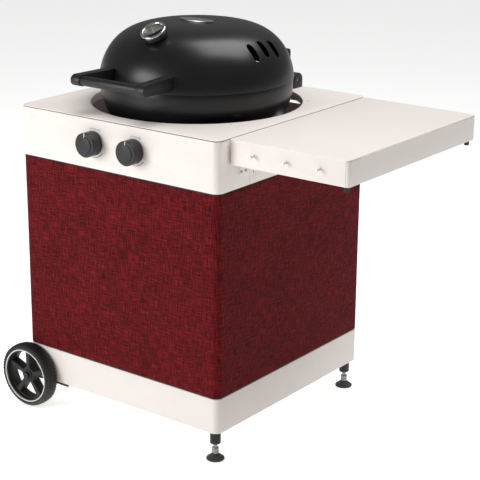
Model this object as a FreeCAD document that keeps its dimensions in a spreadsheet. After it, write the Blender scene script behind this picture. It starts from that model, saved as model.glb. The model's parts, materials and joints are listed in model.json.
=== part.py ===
"""Gas kettle barbecue on a fabric-clad cabinet with a folding side shelf.

Millimetres, +Z up, the floor at Z = 0. The knobs and the lid handle face -Y,
the side shelf is at +X, the two wheels stand at the -X end on an axle along Y.
Every driving size is a cell of the sheet "Size". The pieces are placed from
the cabinet's left (-X) face and front (-Y) face, so they move when it grows.
"""
import FreeCAD, Part
import Sketcher
import os

V = FreeCAD.Vector
doc = FreeCAD.newDocument("kettle_barbecue")
sheet = doc.addObject("Spreadsheet::Sheet", "Size")

SIZES = {
    # cabinet, from the floor up
    "cabinet_width": 726, "cabinet_depth": 719, "corner_radius": 22, "plinth_bottom": 90,
    "plinth_height": 104, "shadow_gap": 4, "cover_height": 584, "housing_height": 142,
    "sheet_wall": 2, "cover_wall": 3, "plate_seal": 2, "plate_wall": 2, "flange_width": 45,
    "rail_height": 16, "rail_width": 11, "wrap_depth": 139, "seam_gap": 1, "back_wrap": 62,
    "post_width": 28, "post_inset": 14, "post_wall": 3, "ring_radius": 118,
    "ring_height": 20, "hole_radius": 311, "hole_flange": 22, "kettle_back": 6.5,
    # kettle
    "rim_radius": 282, "rim_rise": 72, "bowl_skirt": 20, "bowl_round": 150, "steel": 2,
    "drain_radius": 35, "rest_edge": 2, "rest_wall": 20, "beam_height": 20, "beam_width": 20,
    "lid_radius": 284, "lid_skirt": 4, "lid_round": 154, "lid_crown": 4000, "rim_gap": 0.5,
    "vent_length": 40, "vent_width": 22, "vent_pitch": 47, "vent_reach": 237,
    "grate_gap": 16, "grate_bar": 6, "grate_pitch": 16, "grate_drop": 14,
    # lid furniture
    "handle_reach": 380, "handle_rise": 33, "handle_length": 236, "handle_radius": 14,
    "badge_length": 120, "badge_width": 44, "badge_rise": 4, "gauge_place": 195,
    "gauge_side": 8, "gauge_tilt": 32,
    "gauge_radius": 37, "gauge_height": 22, "probe_radius": 4, "hinge_back": 325,
    "hinge_rise": 24, "hinge_radius": 22, "hinge_span": 274, "hinge_block": 38, "arm_wall": 12,
    "lid_pin": 5, "pin_play": 0.05,
    # gas
    "burner_large": 170, "burner_small": 80, "burner_tube": 12, "venturi_radius": 11,
    "pipe_radius": 7, "pipe_inset": 90, "pipe_drop": 26, "inlet_radius": 6.58, "inlet_length": 14,
    "stem_radius": 4, "stem_play": 0.05,
    # knobs
    "knob_radius": 35, "knob_length": 38, "knob_gap": 3.6, "knob_spacing": 150,
    "knob_shift": 3, "knob_drop": 71,
    "press_travel": 3, "bezel_radius": 30, "bezel_height": 8,
    # wheels and feet
    "wheel_radius": 100, "wheel_inset": 21, "wheel_width": 44, "wheel_gap": 3, "tyre_wall": 12,
    "trim_radius": 83, "trim_wall": 3, "hub_radius": 17, "axle_radius": 5, "axle_over": 43,
    "bracket_length": 155, "bracket_drop": 8, "bracket_rise": 50, "bracket_wall": 3,
    "foot_radius": 26, "foot_height": 19, "foot_stem": 6, "sleeve_radius": 15.5, "sleeve_length": 40,
    "nut_radius": 11, "nut_height": 8.5,
    # side shelf
    "shelf_gap": 5, "shelf_length": 370, "shelf_width": 653, "shelf_front": 47, "shelf_height": 71,
    "shelf_round": 10, "shelf_seam": 0.8, "shelf_pivot_out": 9, "shelf_pivot_under": 8,
    "shelf_barrel": 6, "shelf_pin": 3, "lug_wall": 5, "lug_inset": 60, "buffer_radius": 7,
    "buffer_length": 16, "buffer_inset": 16, "hook_first": 81, "hook_pitch": 104, "hook_drop": 35.5,
    "hook_length": 20, "hook_radius": 3, "hook_head": 5.5,
    # drip tray
    "tray_width": 230, "tray_depth": 300, "tray_height": 26, "tray_wall": 2, "tray_drop": 24,
    "crossbar_drop": 90, "gusset_width": 70,
}
for row, (alias, value) in enumerate(SIZES.items(), start=1):
    sheet.set(f"A{row}", alias)
    sheet.set(f"B{row}", str(value))
    sheet.setAlias(f"B{row}", alias)
doc.recompute()

# Places shared by many pieces, as formulas on the sheet.
LEFT = ("(-(Size.wheel_inset - Size.wheel_radius + Size.cabinet_width + Size.shelf_gap"
        " + Size.shelf_length) / 2)")
FRONT = "(-Size.cabinet_depth / 2)"
RIGHT = f"({LEFT} + Size.cabinet_width)"
BACK = f"({FRONT} + Size.cabinet_depth)"
PLINTH_TOP = "(Size.plinth_bottom + Size.plinth_height)"
COVER_BOTTOM = f"({PLINTH_TOP} + Size.shadow_gap)"
HOUSING_BOTTOM = f"({COVER_BOTTOM} + Size.cover_height + Size.shadow_gap)"
HOUSING_TOP = f"({HOUSING_BOTTOM} + Size.housing_height)"
PLATE_BOTTOM = f"({HOUSING_TOP} + Size.plate_seal)"
PLATE_TOP = f"({PLATE_BOTTOM} + Size.plate_wall)"
KETTLE_X = f"({LEFT} + Size.cabinet_width / 2)"
KETTLE_Y = "Size.kettle_back"
RIM = f"({PLATE_TOP} + Size.rim_rise)"
BOWL_FLOOR = f"({RIM} - Size.bowl_skirt - Size.bowl_round)"
BEAM_TOP = f"({BOWL_FLOOR} - 7)"
KNOB_Z = f"({PLATE_TOP} - Size.knob_drop)"
AXLE_X = f"({LEFT} + Size.wheel_inset)"
SHELF_LEFT = f"({RIGHT} + Size.shelf_gap)"
SHELF_FRONT = f"({FRONT} + Size.shelf_front)"
SHELF_BOTTOM = f"({PLATE_TOP} - Size.shelf_height)"
PIVOT_X = f"({RIGHT} + Size.shelf_pivot_out)"
PIVOT_Z = f"({SHELF_BOTTOM} - Size.shelf_pivot_under)"
SHELF_CEILING = "(Size.shelf_height + Size.shelf_pivot_under - Size.sheet_wall)"
REST_RADIUS = "(Size.rim_radius - Size.bowl_round - Size.rest_edge)"
GRATE_RADIUS = "(Size.rim_radius - Size.grate_gap)"
HINGE_Y = f"({KETTLE_Y} + Size.hinge_back)"
HINGE_Z = f"({PLATE_TOP} + Size.hinge_rise)"

ALONG = {"X": FreeCAD.Rotation(V(0, 1, 0), 90), "Y": FreeCAD.Rotation(V(1, 0, 0), -90),
         "-Y": FreeCAD.Rotation(V(1, 0, 0), 90), "Z": FreeCAD.Rotation()}


def number(formula):
    """The present value of a formula on the sheet."""
    result = sheet.evalExpression(str(formula))
    return float(getattr(result, "Value", result))


def bind(piece, **formulas):
    """Bind each property of a piece to its formula."""
    for name, formula in formulas.items():
        piece.setExpression(name.replace("__", "."), str(formula))
    return piece


def put(piece, x=0, y=0, z=0, turn=None):
    """Turn a piece and bind its place."""
    if turn is not None:
        piece.Placement = FreeCAD.Placement(V(), turn)
    return bind(piece, Placement__Base__x=x, Placement__Base__y=y, Placement__Base__z=z)


def block(name, length, width, height, x=0, y=0, z=0):
    """A box from its low corner."""
    piece = doc.addObject("Part::Box", name)
    return put(bind(piece, Length=length, Width=width, Height=height), x, y, z)


def middle_block(name, length, width, height, x=0, y=0, z=0):
    """A box centred on x and y that stands on z."""
    return block(name, length, width, height, f"{x} - ({length}) / 2", f"{y} - ({width}) / 2", z)


def rod(name, radius, length, x=0, y=0, z=0, along="Z"):
    """A round bar that starts at its place and runs along an axis."""
    piece = doc.addObject("Part::Cylinder", name)
    return put(bind(piece, Radius=radius, Height=length), x, y, z, ALONG[along])


def ball(name, radius, x=0, y=0, z=0):
    """A sphere."""
    piece = doc.addObject("Part::Sphere", name)
    return put(bind(piece, Radius=radius), x, y, z)


def hoop(name, radius, thickness, x=0, y=0, z=0):
    """A torus around +Z."""
    piece = doc.addObject("Part::Torus", name)
    return put(bind(piece, Radius1=radius, Radius2=thickness), x, y, z)


def cut(name, base, *tools):
    """The base with the tools taken away."""
    for index, tool in enumerate(tools):
        last = index == len(tools) - 1
        result = doc.addObject("Part::Cut", name if last else f"{name}_cut{index}")
        result.Base = base
        result.Tool = tool
        base = result
    return result


def fuse(name, *pieces):
    """The pieces joined into one solid."""
    result = doc.addObject("Part::MultiFuse", name)
    result.Shapes = list(pieces)
    return result


def group(name, *pieces):
    """Several separate solids kept in one node."""
    result = doc.addObject("Part::Compound", name)
    result.Links = list(pieces)
    return result


def common(name, base, tool):
    """What two solids share."""
    result = doc.addObject("Part::Common", name)
    result.Base = base
    result.Tool = tool
    return result


def upright_block(name, inset, bottom, height):
    """The cabinet's rounded plan, drawn in by an inset, as an upright block."""
    core = block(f"{name}_core", f"Size.cabinet_width - 2 * ({inset})",
                 f"Size.cabinet_depth - 2 * ({inset})", height,
                 f"{LEFT} + {inset}", f"{FRONT} + {inset}", bottom)
    doc.recompute()
    radius = number(f"Size.corner_radius - ({inset})")
    if radius < 1:
        return core
    corners = [i + 1 for i, edge in enumerate(core.Shape.Edges)
               if abs(edge.tangentAt(edge.FirstParameter).z) > 0.9]
    rounded = doc.addObject("Part::Fillet", name)
    rounded.Base = core
    rounded.Edges = [(i, radius, radius) for i in corners]
    return rounded


def upright_ring(name, inset, wall, bottom, height):
    """A rounded ring that follows the cabinet's outline."""
    outer = upright_block(f"{name}_outer", inset, bottom, height)
    inner = upright_block(f"{name}_inner", f"{inset} + {wall}", f"{bottom} - 1", f"{height} + 2")
    return cut(name, outer, inner)


def sketch_on(body, name, role):
    """A sketch on one of the body's own origin planes."""
    sketch = body.newObject("Sketcher::SketchObject", name)
    plane = [feature for feature in body.Origin.OriginFeatures if feature.Role == role][0]
    sketch.AttachmentSupport = [(plane, "")]
    sketch.MapMode = "FlatFace"
    return sketch


def outline(sketch, corners):
    """A closed outline through corners (x, y) or (x, y, radius).

    A radius turns the line that leaves the corner into an arc: it bulges to the
    right of its way when positive and to the left when negative.
    """
    points = [V(number(corner[0]), number(corner[1]), 0) for corner in corners]
    count = len(points)
    for index, corner in enumerate(corners):
        start = points[index]
        end = points[(index + 1) % count]
        if len(corner) == 2:
            edge = Part.LineSegment(start, end)
        else:
            radius = number(corner[2])
            chord = end - start
            side = V(chord.y, -chord.x, 0).normalize()
            half = chord.Length / 2
            bulge = abs(radius) - max(radius * radius - half * half, 0) ** 0.5
            top = start + chord * 0.5 + side * (bulge if radius > 0 else -bulge)
            edge = Part.Arc(start, top, end) if radius > 0 else Part.Arc(end, top, start)
        sketch.addGeometry(edge, False)
    ends = []
    for index, corner in enumerate(corners):
        backwards = len(corner) == 3 and number(corner[2]) < 0
        ends.append((2, 1) if backwards else (1, 2))
    for index, corner in enumerate(corners):
        after = (index + 1) % count
        sketch.addConstraint(Sketcher.Constraint("Coincident", index, ends[index][1],
                                                 after, ends[after][0]))
        rules = [("X", corner[0], points[index].x), ("Y", corner[1], points[index].y)]
        for word, formula, value in rules:
            rule = Sketcher.Constraint(f"Distance{word}", -1, 1, index, ends[index][0], value)
            sketch.renameConstraint(sketch.addConstraint(rule), f"corner{index}{word}")
            sketch.setExpression(f".Constraints.corner{index}{word}", str(formula))
        if len(corner) == 3:
            rule = Sketcher.Constraint("Radius", index, abs(number(corner[2])))
            sketch.renameConstraint(sketch.addConstraint(rule), f"corner{index}R")
            sketch.setExpression(f".Constraints.corner{index}R", f"abs({corner[2]})")
    return sketch


def turned(name, corners):
    """A body of revolution around its own Z: corners are (radius, height)."""
    body = doc.addObject("PartDesign::Body", name)
    sketch = outline(sketch_on(body, f"{name}_profile", "XZ_Plane"), corners)
    turn = body.newObject("PartDesign::Revolution", f"{name}_turn")
    turn.Profile = sketch
    turn.ReferenceAxis = (sketch, ["V_Axis"])
    turn.Angle = 360
    sketch.Visibility = False
    return body


def pressed(name, role, corners, length, both=True):
    """An outline on an origin plane, padded to a length."""
    body = doc.addObject("PartDesign::Body", name)
    sketch = outline(sketch_on(body, f"{name}_profile", role), corners)
    pad = body.newObject("PartDesign::Pad", f"{name}_pad")
    pad.Profile = sketch
    pad.Midplane = both
    bind(pad, Length=length)
    sketch.Visibility = False
    return body


pieces = []


def keep(piece):
    """Mark a finished piece: it becomes one node."""
    piece.Label = piece.Name
    pieces.append(piece)
    return piece


# --- cabinet ---------------------------------------------------------------

def plinth():
    shell = upright_ring("plinth_wall", "0", "Size.sheet_wall", "Size.plinth_bottom",
                         "Size.plinth_height")
    flange = upright_ring("plinth_flange", "0", "Size.flange_width",
                          f"{PLINTH_TOP} - Size.sheet_wall", "Size.sheet_wall")
    notch = middle_block("axle_notch", "2 * Size.axle_radius + 2", "Size.cabinet_depth + 20",
                         "Size.wheel_radius + Size.axle_radius + 1 - Size.plinth_bottom + 1",
                         AXLE_X, 0, "Size.plinth_bottom - 1")
    sleeves = [rod(f"sleeve_hole_{end}", "Size.sleeve_radius - 3", "30", f"{RIGHT} - {foot_inset}",
                   y, "Size.plinth_bottom - 5") for end, y in foot_places]
    gusset_height = "Size.sheet_wall"
    footprint = upright_block("gusset_outline", "0", "Size.plinth_bottom", gusset_height)
    gussets = [common(f"foot_gusset_{end}",
                      middle_block(f"gusset_block_{end}", "Size.gusset_width",
                                   "Size.gusset_width", gusset_height,
                                   f"{RIGHT} - {foot_inset}", y, "Size.plinth_bottom"),
                      footprint) for end, y in foot_places]
    return cut("plinth", fuse("plinth_sheet", shell, flange, *gussets), notch, *sleeves)


foot_inset = "(Size.post_inset + Size.post_width / 2)"
foot_places = (("front", f"({FRONT} + {foot_inset})"), ("rear", f"({BACK} - {foot_inset})"))
keep(plinth())

platform_z = f"({PLINTH_TOP} - Size.flange_width + 10)"
platform = block("bottle_platform_sheet", "Size.cabinet_width - 2 * Size.sheet_wall",
                 "Size.cabinet_depth - 2 * Size.sheet_wall - 2", "Size.sheet_wall",
                 f"{LEFT} + Size.sheet_wall", f"{FRONT} + Size.sheet_wall + 1", platform_z)
vent_slots = [middle_block(f"floor_slot_{n}", "14", "260", "30",
                           f"{KETTLE_X} + {n} * 110", "0", f"{platform_z} - 14")
              for n in (-2, 2)]
corner_reliefs = [middle_block(f"corner_relief_{n}", "50", "50", "30", x, y, f"{platform_z} - 14")
                  for n, (x, y) in enumerate(((LEFT, FRONT), (LEFT, BACK), (RIGHT, FRONT),
                                              (RIGHT, BACK)))]
platform_sheet = cut("platform_sheet", platform, *vent_slots, *corner_reliefs)

ring_wall = rod("ring_wall", "Size.ring_radius", "Size.ring_height", KETTLE_X, 0, platform_z)
ring_hollow = rod("ring_hollow", "Size.ring_radius - 3", "Size.ring_height", KETTLE_X, 0,
                  f"{platform_z} + Size.sheet_wall")
keep(fuse("bottle_platform", platform_sheet, cut("locating_ring", ring_wall, ring_hollow)))

frame_bars = []
post_bottom = PLINTH_TOP
post_height = f"({HOUSING_TOP} - {PLINTH_TOP})"
for side, x in (("left", f"{LEFT} + {foot_inset}"), ("right", f"{RIGHT} - {foot_inset}")):
    for end, y in foot_places:
        name = f"corner_post_{end}_{side}"
        tube = middle_block(f"{name}_tube", "Size.post_width", "Size.post_width", post_height,
                            f"({x})", y, post_bottom)
        bore = middle_block(f"{name}_bore", "Size.post_width - 2 * Size.post_wall",
                            "Size.post_width - 2 * Size.post_wall", f"{post_height} + 2",
                            f"({x})", y, f"{post_bottom} - 1")
        outline_trim = upright_block(f"{name}_trim", "Size.post_inset", post_bottom, post_height)
        frame_bars.append(common(name, cut(f"{name}_hollow", tube, bore), outline_trim))


def open_back(name, ring, bottom, height):
    """A ring that ends just past the rear corners."""
    gap = middle_block(f"{name}_gap", "Size.cabinet_width - 2 * Size.back_wrap", "60",
                       f"{height} + 4", KETTLE_X, BACK, f"{bottom} - 2")
    return cut(name, ring, gap)


keep(open_back("textile_cover", upright_ring("textile_ring", "0", "Size.cover_wall", COVER_BOTTOM,
                                             "Size.cover_height"),
               COVER_BOTTOM, "Size.cover_height"))
rails = (("textile_rail_top", f"{HOUSING_BOTTOM} - Size.rail_height"),
         ("textile_rail_bottom", PLINTH_TOP))
keep(group("textile_rails", *[
    open_back(name, upright_ring(f"{name}_ring", "Size.cover_wall", "Size.rail_width", bottom,
                                 "Size.rail_height"), bottom, "Size.rail_height")
    for name, bottom in rails]))

post_inner = "(Size.post_inset + Size.post_width)"
bar_length = f"(Size.cabinet_width - 2 * {post_inner})"
bar_y = f"({BACK} - {foot_inset})"
for name, bottom in (("rear_crossbar_upper", f"{HOUSING_BOTTOM} - Size.crossbar_drop"),
                     ("rear_crossbar_lower", PLINTH_TOP)):
    bar = middle_block(f"{name}_bar", bar_length, "20", "28", KETTLE_X, bar_y, bottom)
    hollow = middle_block(f"{name}_hollow", f"{bar_length} + 2", "16", "24", KETTLE_X, bar_y,
                          f"{bottom} + 2")
    frame_bars.append(cut(name, bar, hollow))

beam_bottom = f"({BEAM_TOP} - Size.beam_height)"
side_length = f"(Size.cabinet_depth - 2 * {post_inner})"
for side, x in (("left", f"({LEFT} + {foot_inset})"), ("right", f"({RIGHT} - {foot_inset})")):
    frame_bars.append(middle_block(f"side_beam_{side}", "Size.beam_width", side_length,
                                   "Size.beam_height", x, 0, beam_bottom))
cross_length = f"(Size.cabinet_width - 2 * ({foot_inset}) - Size.beam_width)"
for end, sign in (("front", "-"), ("rear", "+")):
    frame_bars.append(middle_block(f"cross_beam_{end}", cross_length, "Size.beam_width",
                                   "Size.beam_height", KETTLE_X,
                                   f"{KETTLE_Y} {sign} ({REST_RADIUS} - Size.rest_wall / 2)",
                                   beam_bottom))
rest = rod("rest_wall", REST_RADIUS, f"{BOWL_FLOOR} - {BEAM_TOP}", KETTLE_X, KETTLE_Y,
           BEAM_TOP)
rest_hollow = rod("rest_hollow", f"{REST_RADIUS} - Size.rest_wall", "20", KETTLE_X, KETTLE_Y,
                  f"{BEAM_TOP} - 1")
frame_bars.append(cut("bowl_rest_ring", rest, rest_hollow))
tray_z = f"({beam_bottom} - Size.tray_height - Size.tray_drop)"
runner_height = "(Size.tray_drop + Size.tray_wall + 3)"
for side, sign in (("left", "-"), ("right", "+")):
    name = f"tray_runner_{side}"
    x = f"({KETTLE_X} {sign} (Size.tray_width / 2 + 10))"
    length = f"(2 * {REST_RADIUS})"
    runner = middle_block(f"{name}_block", "12", length, runner_height, f"({x} {sign} 6)",
                          KETTLE_Y, f"{beam_bottom} - {runner_height}")
    slot = middle_block(f"{name}_slot", "12", f"{length} + 2", "Size.tray_wall + 1",
                        f"({x} {sign} 2)", KETTLE_Y,
                        f"{tray_z} + Size.tray_height - Size.tray_wall - 0.5")
    frame_bars.append(cut(name, runner, slot))
keep(group("cabinet_frame", *frame_bars))

# --- control housing and top plate -------------------------------------------

knob_xs = (("left", f"({KETTLE_X} - Size.knob_shift - Size.knob_spacing / 2)"),
           ("right", f"({KETTLE_X} - Size.knob_shift + Size.knob_spacing / 2)"))
stem_hole = "(Size.stem_radius + 4)"
housing_ring = upright_ring("housing_ring", "0", "Size.sheet_wall", HOUSING_BOTTOM,
                            "Size.housing_height")
housing_lip = upright_ring("housing_lip", "0", "Size.post_inset", HOUSING_BOTTOM, "Size.sheet_wall")
housing_sheet = fuse("housing_sheet", housing_ring, housing_lip)
front_zone = block("front_zone", "Size.cabinet_width + 20", "Size.wrap_depth + 20",
                   "Size.housing_height + 20", f"{LEFT} - 10", f"{FRONT} - 20",
                   f"{HOUSING_BOTTOM} - 10")
side_zones = []
for side, x in (("left", f"{LEFT} - 10"), ("right", f"{RIGHT} - Size.back_wrap")):
    zone = block(f"{side}_zone", "Size.back_wrap + 10",
                 "Size.cabinet_depth - Size.wrap_depth - Size.seam_gap + 10",
                 "Size.housing_height + 20", x, f"{FRONT} + Size.wrap_depth + Size.seam_gap",
                 f"{HOUSING_BOTTOM} - 10")
    side_zones.append((side, zone))
rear_zone = middle_block("rear_zone", "Size.cabinet_width - 2 * (Size.back_wrap + Size.seam_gap)",
                         "60", "Size.housing_height + 20", KETTLE_X, BACK,
                         f"{HOUSING_BOTTOM} - 10")
panel_holes = [rod(f"knob_hole_{side}", stem_hole, "20", x, f"{FRONT} - 5", KNOB_Z, "Y")
               for side, x in knob_xs]
keep(cut("control_panel", common("control_sheet", housing_sheet, front_zone), *panel_holes))
side_left = common("housing_side_left", housing_sheet, side_zones[0][1])
wall_slot = middle_block("wall_slot", "20", "3", "12", RIGHT, f"{FRONT} + Size.wrap_depth + 17",
                         f"{PLATE_TOP} - 120")
side_right = cut("housing_side_right",
                 common("housing_right_sheet", housing_sheet, side_zones[1][1]), wall_slot)
keep(group("housing_sides", side_left, side_right))
PIPE_X = f"({RIGHT} - Size.pipe_inset)"
PIPE_Z = f"({KNOB_Z} - Size.pipe_drop)"
rear_slots = [middle_block(f"rear_slot_{n}", "70", "60", "8", f"{KETTLE_X} + {n} * 100", BACK,
                           f"{HOUSING_BOTTOM} + 90") for n in (-2, -1, 0, 1)]
inlet_hole = rod("inlet_hole", "Size.pipe_radius + 3", "60", PIPE_X, f"{BACK} - 30", PIPE_Z, "Y")
keep(cut("housing_rear", common("housing_rear_sheet", housing_sheet, rear_zone), *rear_slots,
         inlet_hole))

keep(upright_ring("plate_seal", "2.5", "24", HOUSING_TOP, "Size.plate_seal"))
plate = upright_block("plate_sheet", "0", PLATE_BOTTOM, "Size.plate_wall")
collar = rod("plate_collar", "Size.hole_radius + Size.plate_wall", "Size.hole_flange",
             KETTLE_X, KETTLE_Y, f"{PLATE_TOP} - Size.hole_flange")
opening = rod("plate_opening", "Size.hole_radius", "Size.hole_flange + 2", KETTLE_X, KETTLE_Y,
              f"{PLATE_TOP} - Size.hole_flange - 1")
keep(cut("top_plate", fuse("plate_and_collar", plate, collar), opening))

# --- kettle ------------------------------------------------------------------

bowl_flat = "(Size.rim_radius - Size.bowl_round)"
bowl = turned("bowl_shell", [
    ("Size.drain_radius", "0"),
    (bowl_flat, "0", "Size.bowl_round"),
    ("Size.rim_radius", "Size.bowl_round"),
    ("Size.rim_radius", "Size.bowl_round + Size.bowl_skirt"),
    ("Size.rim_radius - Size.steel", "Size.bowl_round + Size.bowl_skirt"),
    ("Size.rim_radius - Size.steel", "Size.bowl_round", "-(Size.bowl_round - Size.steel)"),
    (bowl_flat, "Size.steel"),
    ("Size.drain_radius", "Size.steel"),
])
put(bowl, KETTLE_X, KETTLE_Y, BOWL_FLOOR)
tube_holes = []
for side, x in knob_xs:
    tube_holes.append(rod(f"tube_hole_{side}", "Size.venturi_radius + 2", "260", x,
                          f"{FRONT} + 60", KNOB_Z, "Y"))
    tube_holes.append(rod(f"lead_hole_{side}", "4", "260", f"{x} + Size.venturi_radius + 9",
                          f"{FRONT} + 60", KNOB_Z, "Y"))
GRATE_Z = f"({RIM} - Size.grate_drop - Size.grate_bar)"
ledge_disc = rod("ledge_disc", "Size.rim_radius - Size.steel / 2", "Size.rim_rise", KETTLE_X,
                 KETTLE_Y, f"{GRATE_Z} - 50")
ledges = []
for level, drop in (("grate", "3"), ("cone", "43.5")):
    for angle in (90, 210, 330):
        ledge = doc.addObject("Part::Box", f"{level}_ledge_{angle}")
        bind(ledge, Length="26", Width="20", Height="3")
        ledge_reach = "(Size.rim_radius - 25)"
        put(ledge, f"{KETTLE_X} + {ledge_reach} * cos({angle} deg)",
            f"{KETTLE_Y} + {ledge_reach} * sin({angle} deg)", f"{GRATE_Z} - {drop}",
            FreeCAD.Rotation(V(0, 0, 1), angle))
        ledges.append(common(f"{level}_ledge_{angle}_trim", ledge, ledge_disc))
keep(fuse("kettle_bowl", cut("bowl_pierced", bowl, *tube_holes), *ledges))


def dome(name, shrink):
    """The lid's outer or inner face as a solid, drawn in by a thickness."""
    edge = f"(Size.lid_radius - {shrink})"
    shoulder = f"(Size.lid_round - {shrink})"
    crown = f"(Size.lid_crown - {shrink})"
    share = "((Size.lid_radius - Size.lid_round) / (Size.lid_crown - Size.lid_round))"
    centre = ("(Size.lid_skirt - sqrt((Size.lid_crown - Size.lid_round)^2"
              " - (Size.lid_radius - Size.lid_round)^2))")
    body = turned(name, [
        ("0", "0"),
        (edge, "0"),
        (edge, "Size.lid_skirt", shoulder),
        (f"{crown} * {share}", f"{centre} + {crown} * sqrt(1 - {share}^2)", crown),
        ("0", f"{centre} + {crown}"),
    ])
    return put(body, KETTLE_X, KETTLE_Y, f"{RIM} + Size.rim_gap")


dome_centre = ("(Size.lid_skirt - sqrt((Size.lid_crown - Size.lid_round)^2"
               " - (Size.lid_radius - Size.lid_round)^2))")
APEX = f"({RIM} + Size.rim_gap + {dome_centre} + Size.lid_crown)"
dome_solid = dome("dome_solid", "0")
dome_hollow = dome("dome_hollow", "Size.steel")
vents = []
for n in (-1, 0, 1):
    bar = middle_block(f"vent_{n + 1}_bar", "Size.vent_length - Size.vent_width", "Size.vent_width",
                       "200", f"{KETTLE_X} + Size.vent_reach",
                       f"{KETTLE_Y} + {n} * Size.vent_pitch", f"{RIM} + 10")
    vents.append(bar)
    for end in ("-", "+"):
        vents.append(rod(f"vent_{n + 1}_end{end == '+':d}", "Size.vent_width / 2", "200",
                         f"{KETTLE_X} + Size.vent_reach {end} (Size.vent_length"
                         " - Size.vent_width) / 2",
                         f"{KETTLE_Y} + {n} * Size.vent_pitch", f"{RIM} + 10"))

# The gauge stands on the front of the dome: its foot and its tilted axis.
gauge_sine = "((Size.gauge_place - Size.lid_radius + Size.lid_round) / Size.lid_round)"
GAUGE_Y = f"({KETTLE_Y} - Size.gauge_place)"
GAUGE_Z = (f"({RIM} + Size.rim_gap + Size.lid_skirt + Size.lid_round"
           f" * sqrt(1 - {gauge_sine}^2))")
gauge_turn = FreeCAD.Rotation(V(1, 0, 0), number("Size.gauge_tilt"))


def on_gauge(piece):
    """Stand a piece on the gauge's tilted axis."""
    return put(piece, f"{KETTLE_X} + Size.gauge_side", GAUGE_Y, GAUGE_Z, gauge_turn)


probe_hole = on_gauge(turned("probe_hole", [("0", "-40"), ("Size.probe_radius + 1.5", "-40"),
                                            ("Size.probe_radius + 1.5", "20"), ("0", "20")]))
keep(cut("lid_shell", dome_solid, dome_hollow, fuse("vent_slots", *vents), probe_hole))

# --- lid furniture -----------------------------------------------------------

handle_y = f"({KETTLE_Y} - Size.handle_reach)"
handle_z = f"({RIM} + Size.handle_rise)"
half_handle = "(Size.handle_length / 2)"
half_grip = f"({half_handle} - 8)"
keep(rod("handle_grip", "Size.handle_radius", f"2 * {half_grip}",
         f"{KETTLE_X} - {half_grip}", handle_y, handle_z, "X"))
arm_reach = "(Size.handle_reach - 240)"
arm_nose = "(Size.handle_radius + 2)"
arm_side = pressed("handle_arm_side", "YZ_Plane", [
    ("0", f"-{arm_nose}"), (arm_reach, "-21"), (arm_reach, "17"), ("0", arm_nose, arm_nose),
    (f"-{arm_nose}", "0", arm_nose),
], "Size.handle_length + 60")
put(arm_side, KETTLE_X, handle_y, handle_z)
arms = []
for side, sign in (("left", "-1"), ("right", "1")):
    plan = pressed(f"handle_arm_plan_{side}", "XY_Plane", [
        (f"{sign} * ({half_handle} - 16)", f"-{arm_nose} - 1"),
        (f"{sign} * ({half_handle} + 14)", f"-{arm_nose} - 1"),
        (f"{sign} * ({half_handle} - 1)", arm_reach),
        (f"{sign} * ({half_handle} - 32)", arm_reach),
    ], "60")
    put(plan, KETTLE_X, handle_y, handle_z)
    bar_bore = rod(f"handle_arm_bore_{side}", "Size.handle_radius", f"2 * {half_grip}",
                   f"{KETTLE_X} - {half_grip}", handle_y, handle_z, "X")
    arms.append(cut(f"handle_bracket_{side}", common(f"handle_arm_{side}", plan, arm_side),
                    bar_bore, dome_solid))
keep(group("handle_brackets", *arms))

badge = doc.addObject("PartDesign::Body", "badge_blank")
badge_sketch = sketch_on(badge, "badge_profile", "XY_Plane")
long_half = number("Size.badge_length / 2")
short_half = number("Size.badge_width / 2")
badge_sketch.addGeometry(Part.Ellipse(V(long_half, 0, 0), V(0, short_half, 0), V()), False)
badge_pad = badge.newObject("PartDesign::Pad", "badge_pad")
badge_pad.Profile = badge_sketch
bind(badge_pad, Length="Size.badge_rise + 10")
put(badge, KETTLE_X, KETTLE_Y, f"{APEX} - 10")
keep(cut("lid_badge", badge, dome_solid))

foot = on_gauge(turned("gauge_foot_blank", [("Size.probe_radius + 0.5", "-30"),
                                            ("Size.gauge_radius - 3", "-30"),
                                            ("Size.gauge_radius - 3", "Size.gauge_height - 10"),
                                            ("Size.probe_radius + 0.5", "Size.gauge_height - 10")]))
keep(cut("gauge_foot", foot, dome_solid))
keep(on_gauge(turned("gauge_bezel", [
    ("Size.gauge_radius - 8", "Size.gauge_height - 10"),
    ("Size.gauge_radius", "Size.gauge_height - 10"),
    ("Size.gauge_radius", "Size.gauge_height - 3", "3"),
    ("Size.gauge_radius - 3", "Size.gauge_height"),
    ("Size.gauge_radius - 6", "Size.gauge_height"),
    ("Size.gauge_radius - 8", "Size.gauge_height - 3"),
])))
keep(on_gauge(turned("gauge_dial", [
    ("Size.probe_radius - 1", "Size.gauge_height - 10"),
    ("Size.gauge_radius - 8", "Size.gauge_height - 10"),
    ("Size.gauge_radius - 8", "Size.gauge_height - 9"),
    ("Size.probe_radius - 1", "Size.gauge_height - 9"),
])))
keep(on_gauge(turned("gauge_glass", [
    ("0", "Size.gauge_height - 4.5"),
    ("Size.gauge_radius - 8", "Size.gauge_height - 4.5"),
    ("Size.gauge_radius - 8", "Size.gauge_height - 3"),
    ("0", "Size.gauge_height - 3"),
])))
needle_rest = 49
needle_hub = turned("needle_hub", [("0", "Size.gauge_height - 8.6"), ("2.5", "Size.gauge_height - 8.6"),
                                   ("2.5", "Size.gauge_height - 6"), ("0", "Size.gauge_height - 6")])
needle_blade = pressed("needle_blade", "XY_Plane", [("-1.4", "-7"), ("1.4", "-7"),
                                                    ("0.5", "Size.gauge_radius - 13"),
                                                    ("-0.5", "Size.gauge_radius - 13")], "0.8")
put(needle_blade, 0, 0, "Size.gauge_height - 7.3", FreeCAD.Rotation(V(0, 0, 1), needle_rest))
keep(on_gauge(fuse("gauge_needle", needle_hub, needle_blade)))
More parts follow.
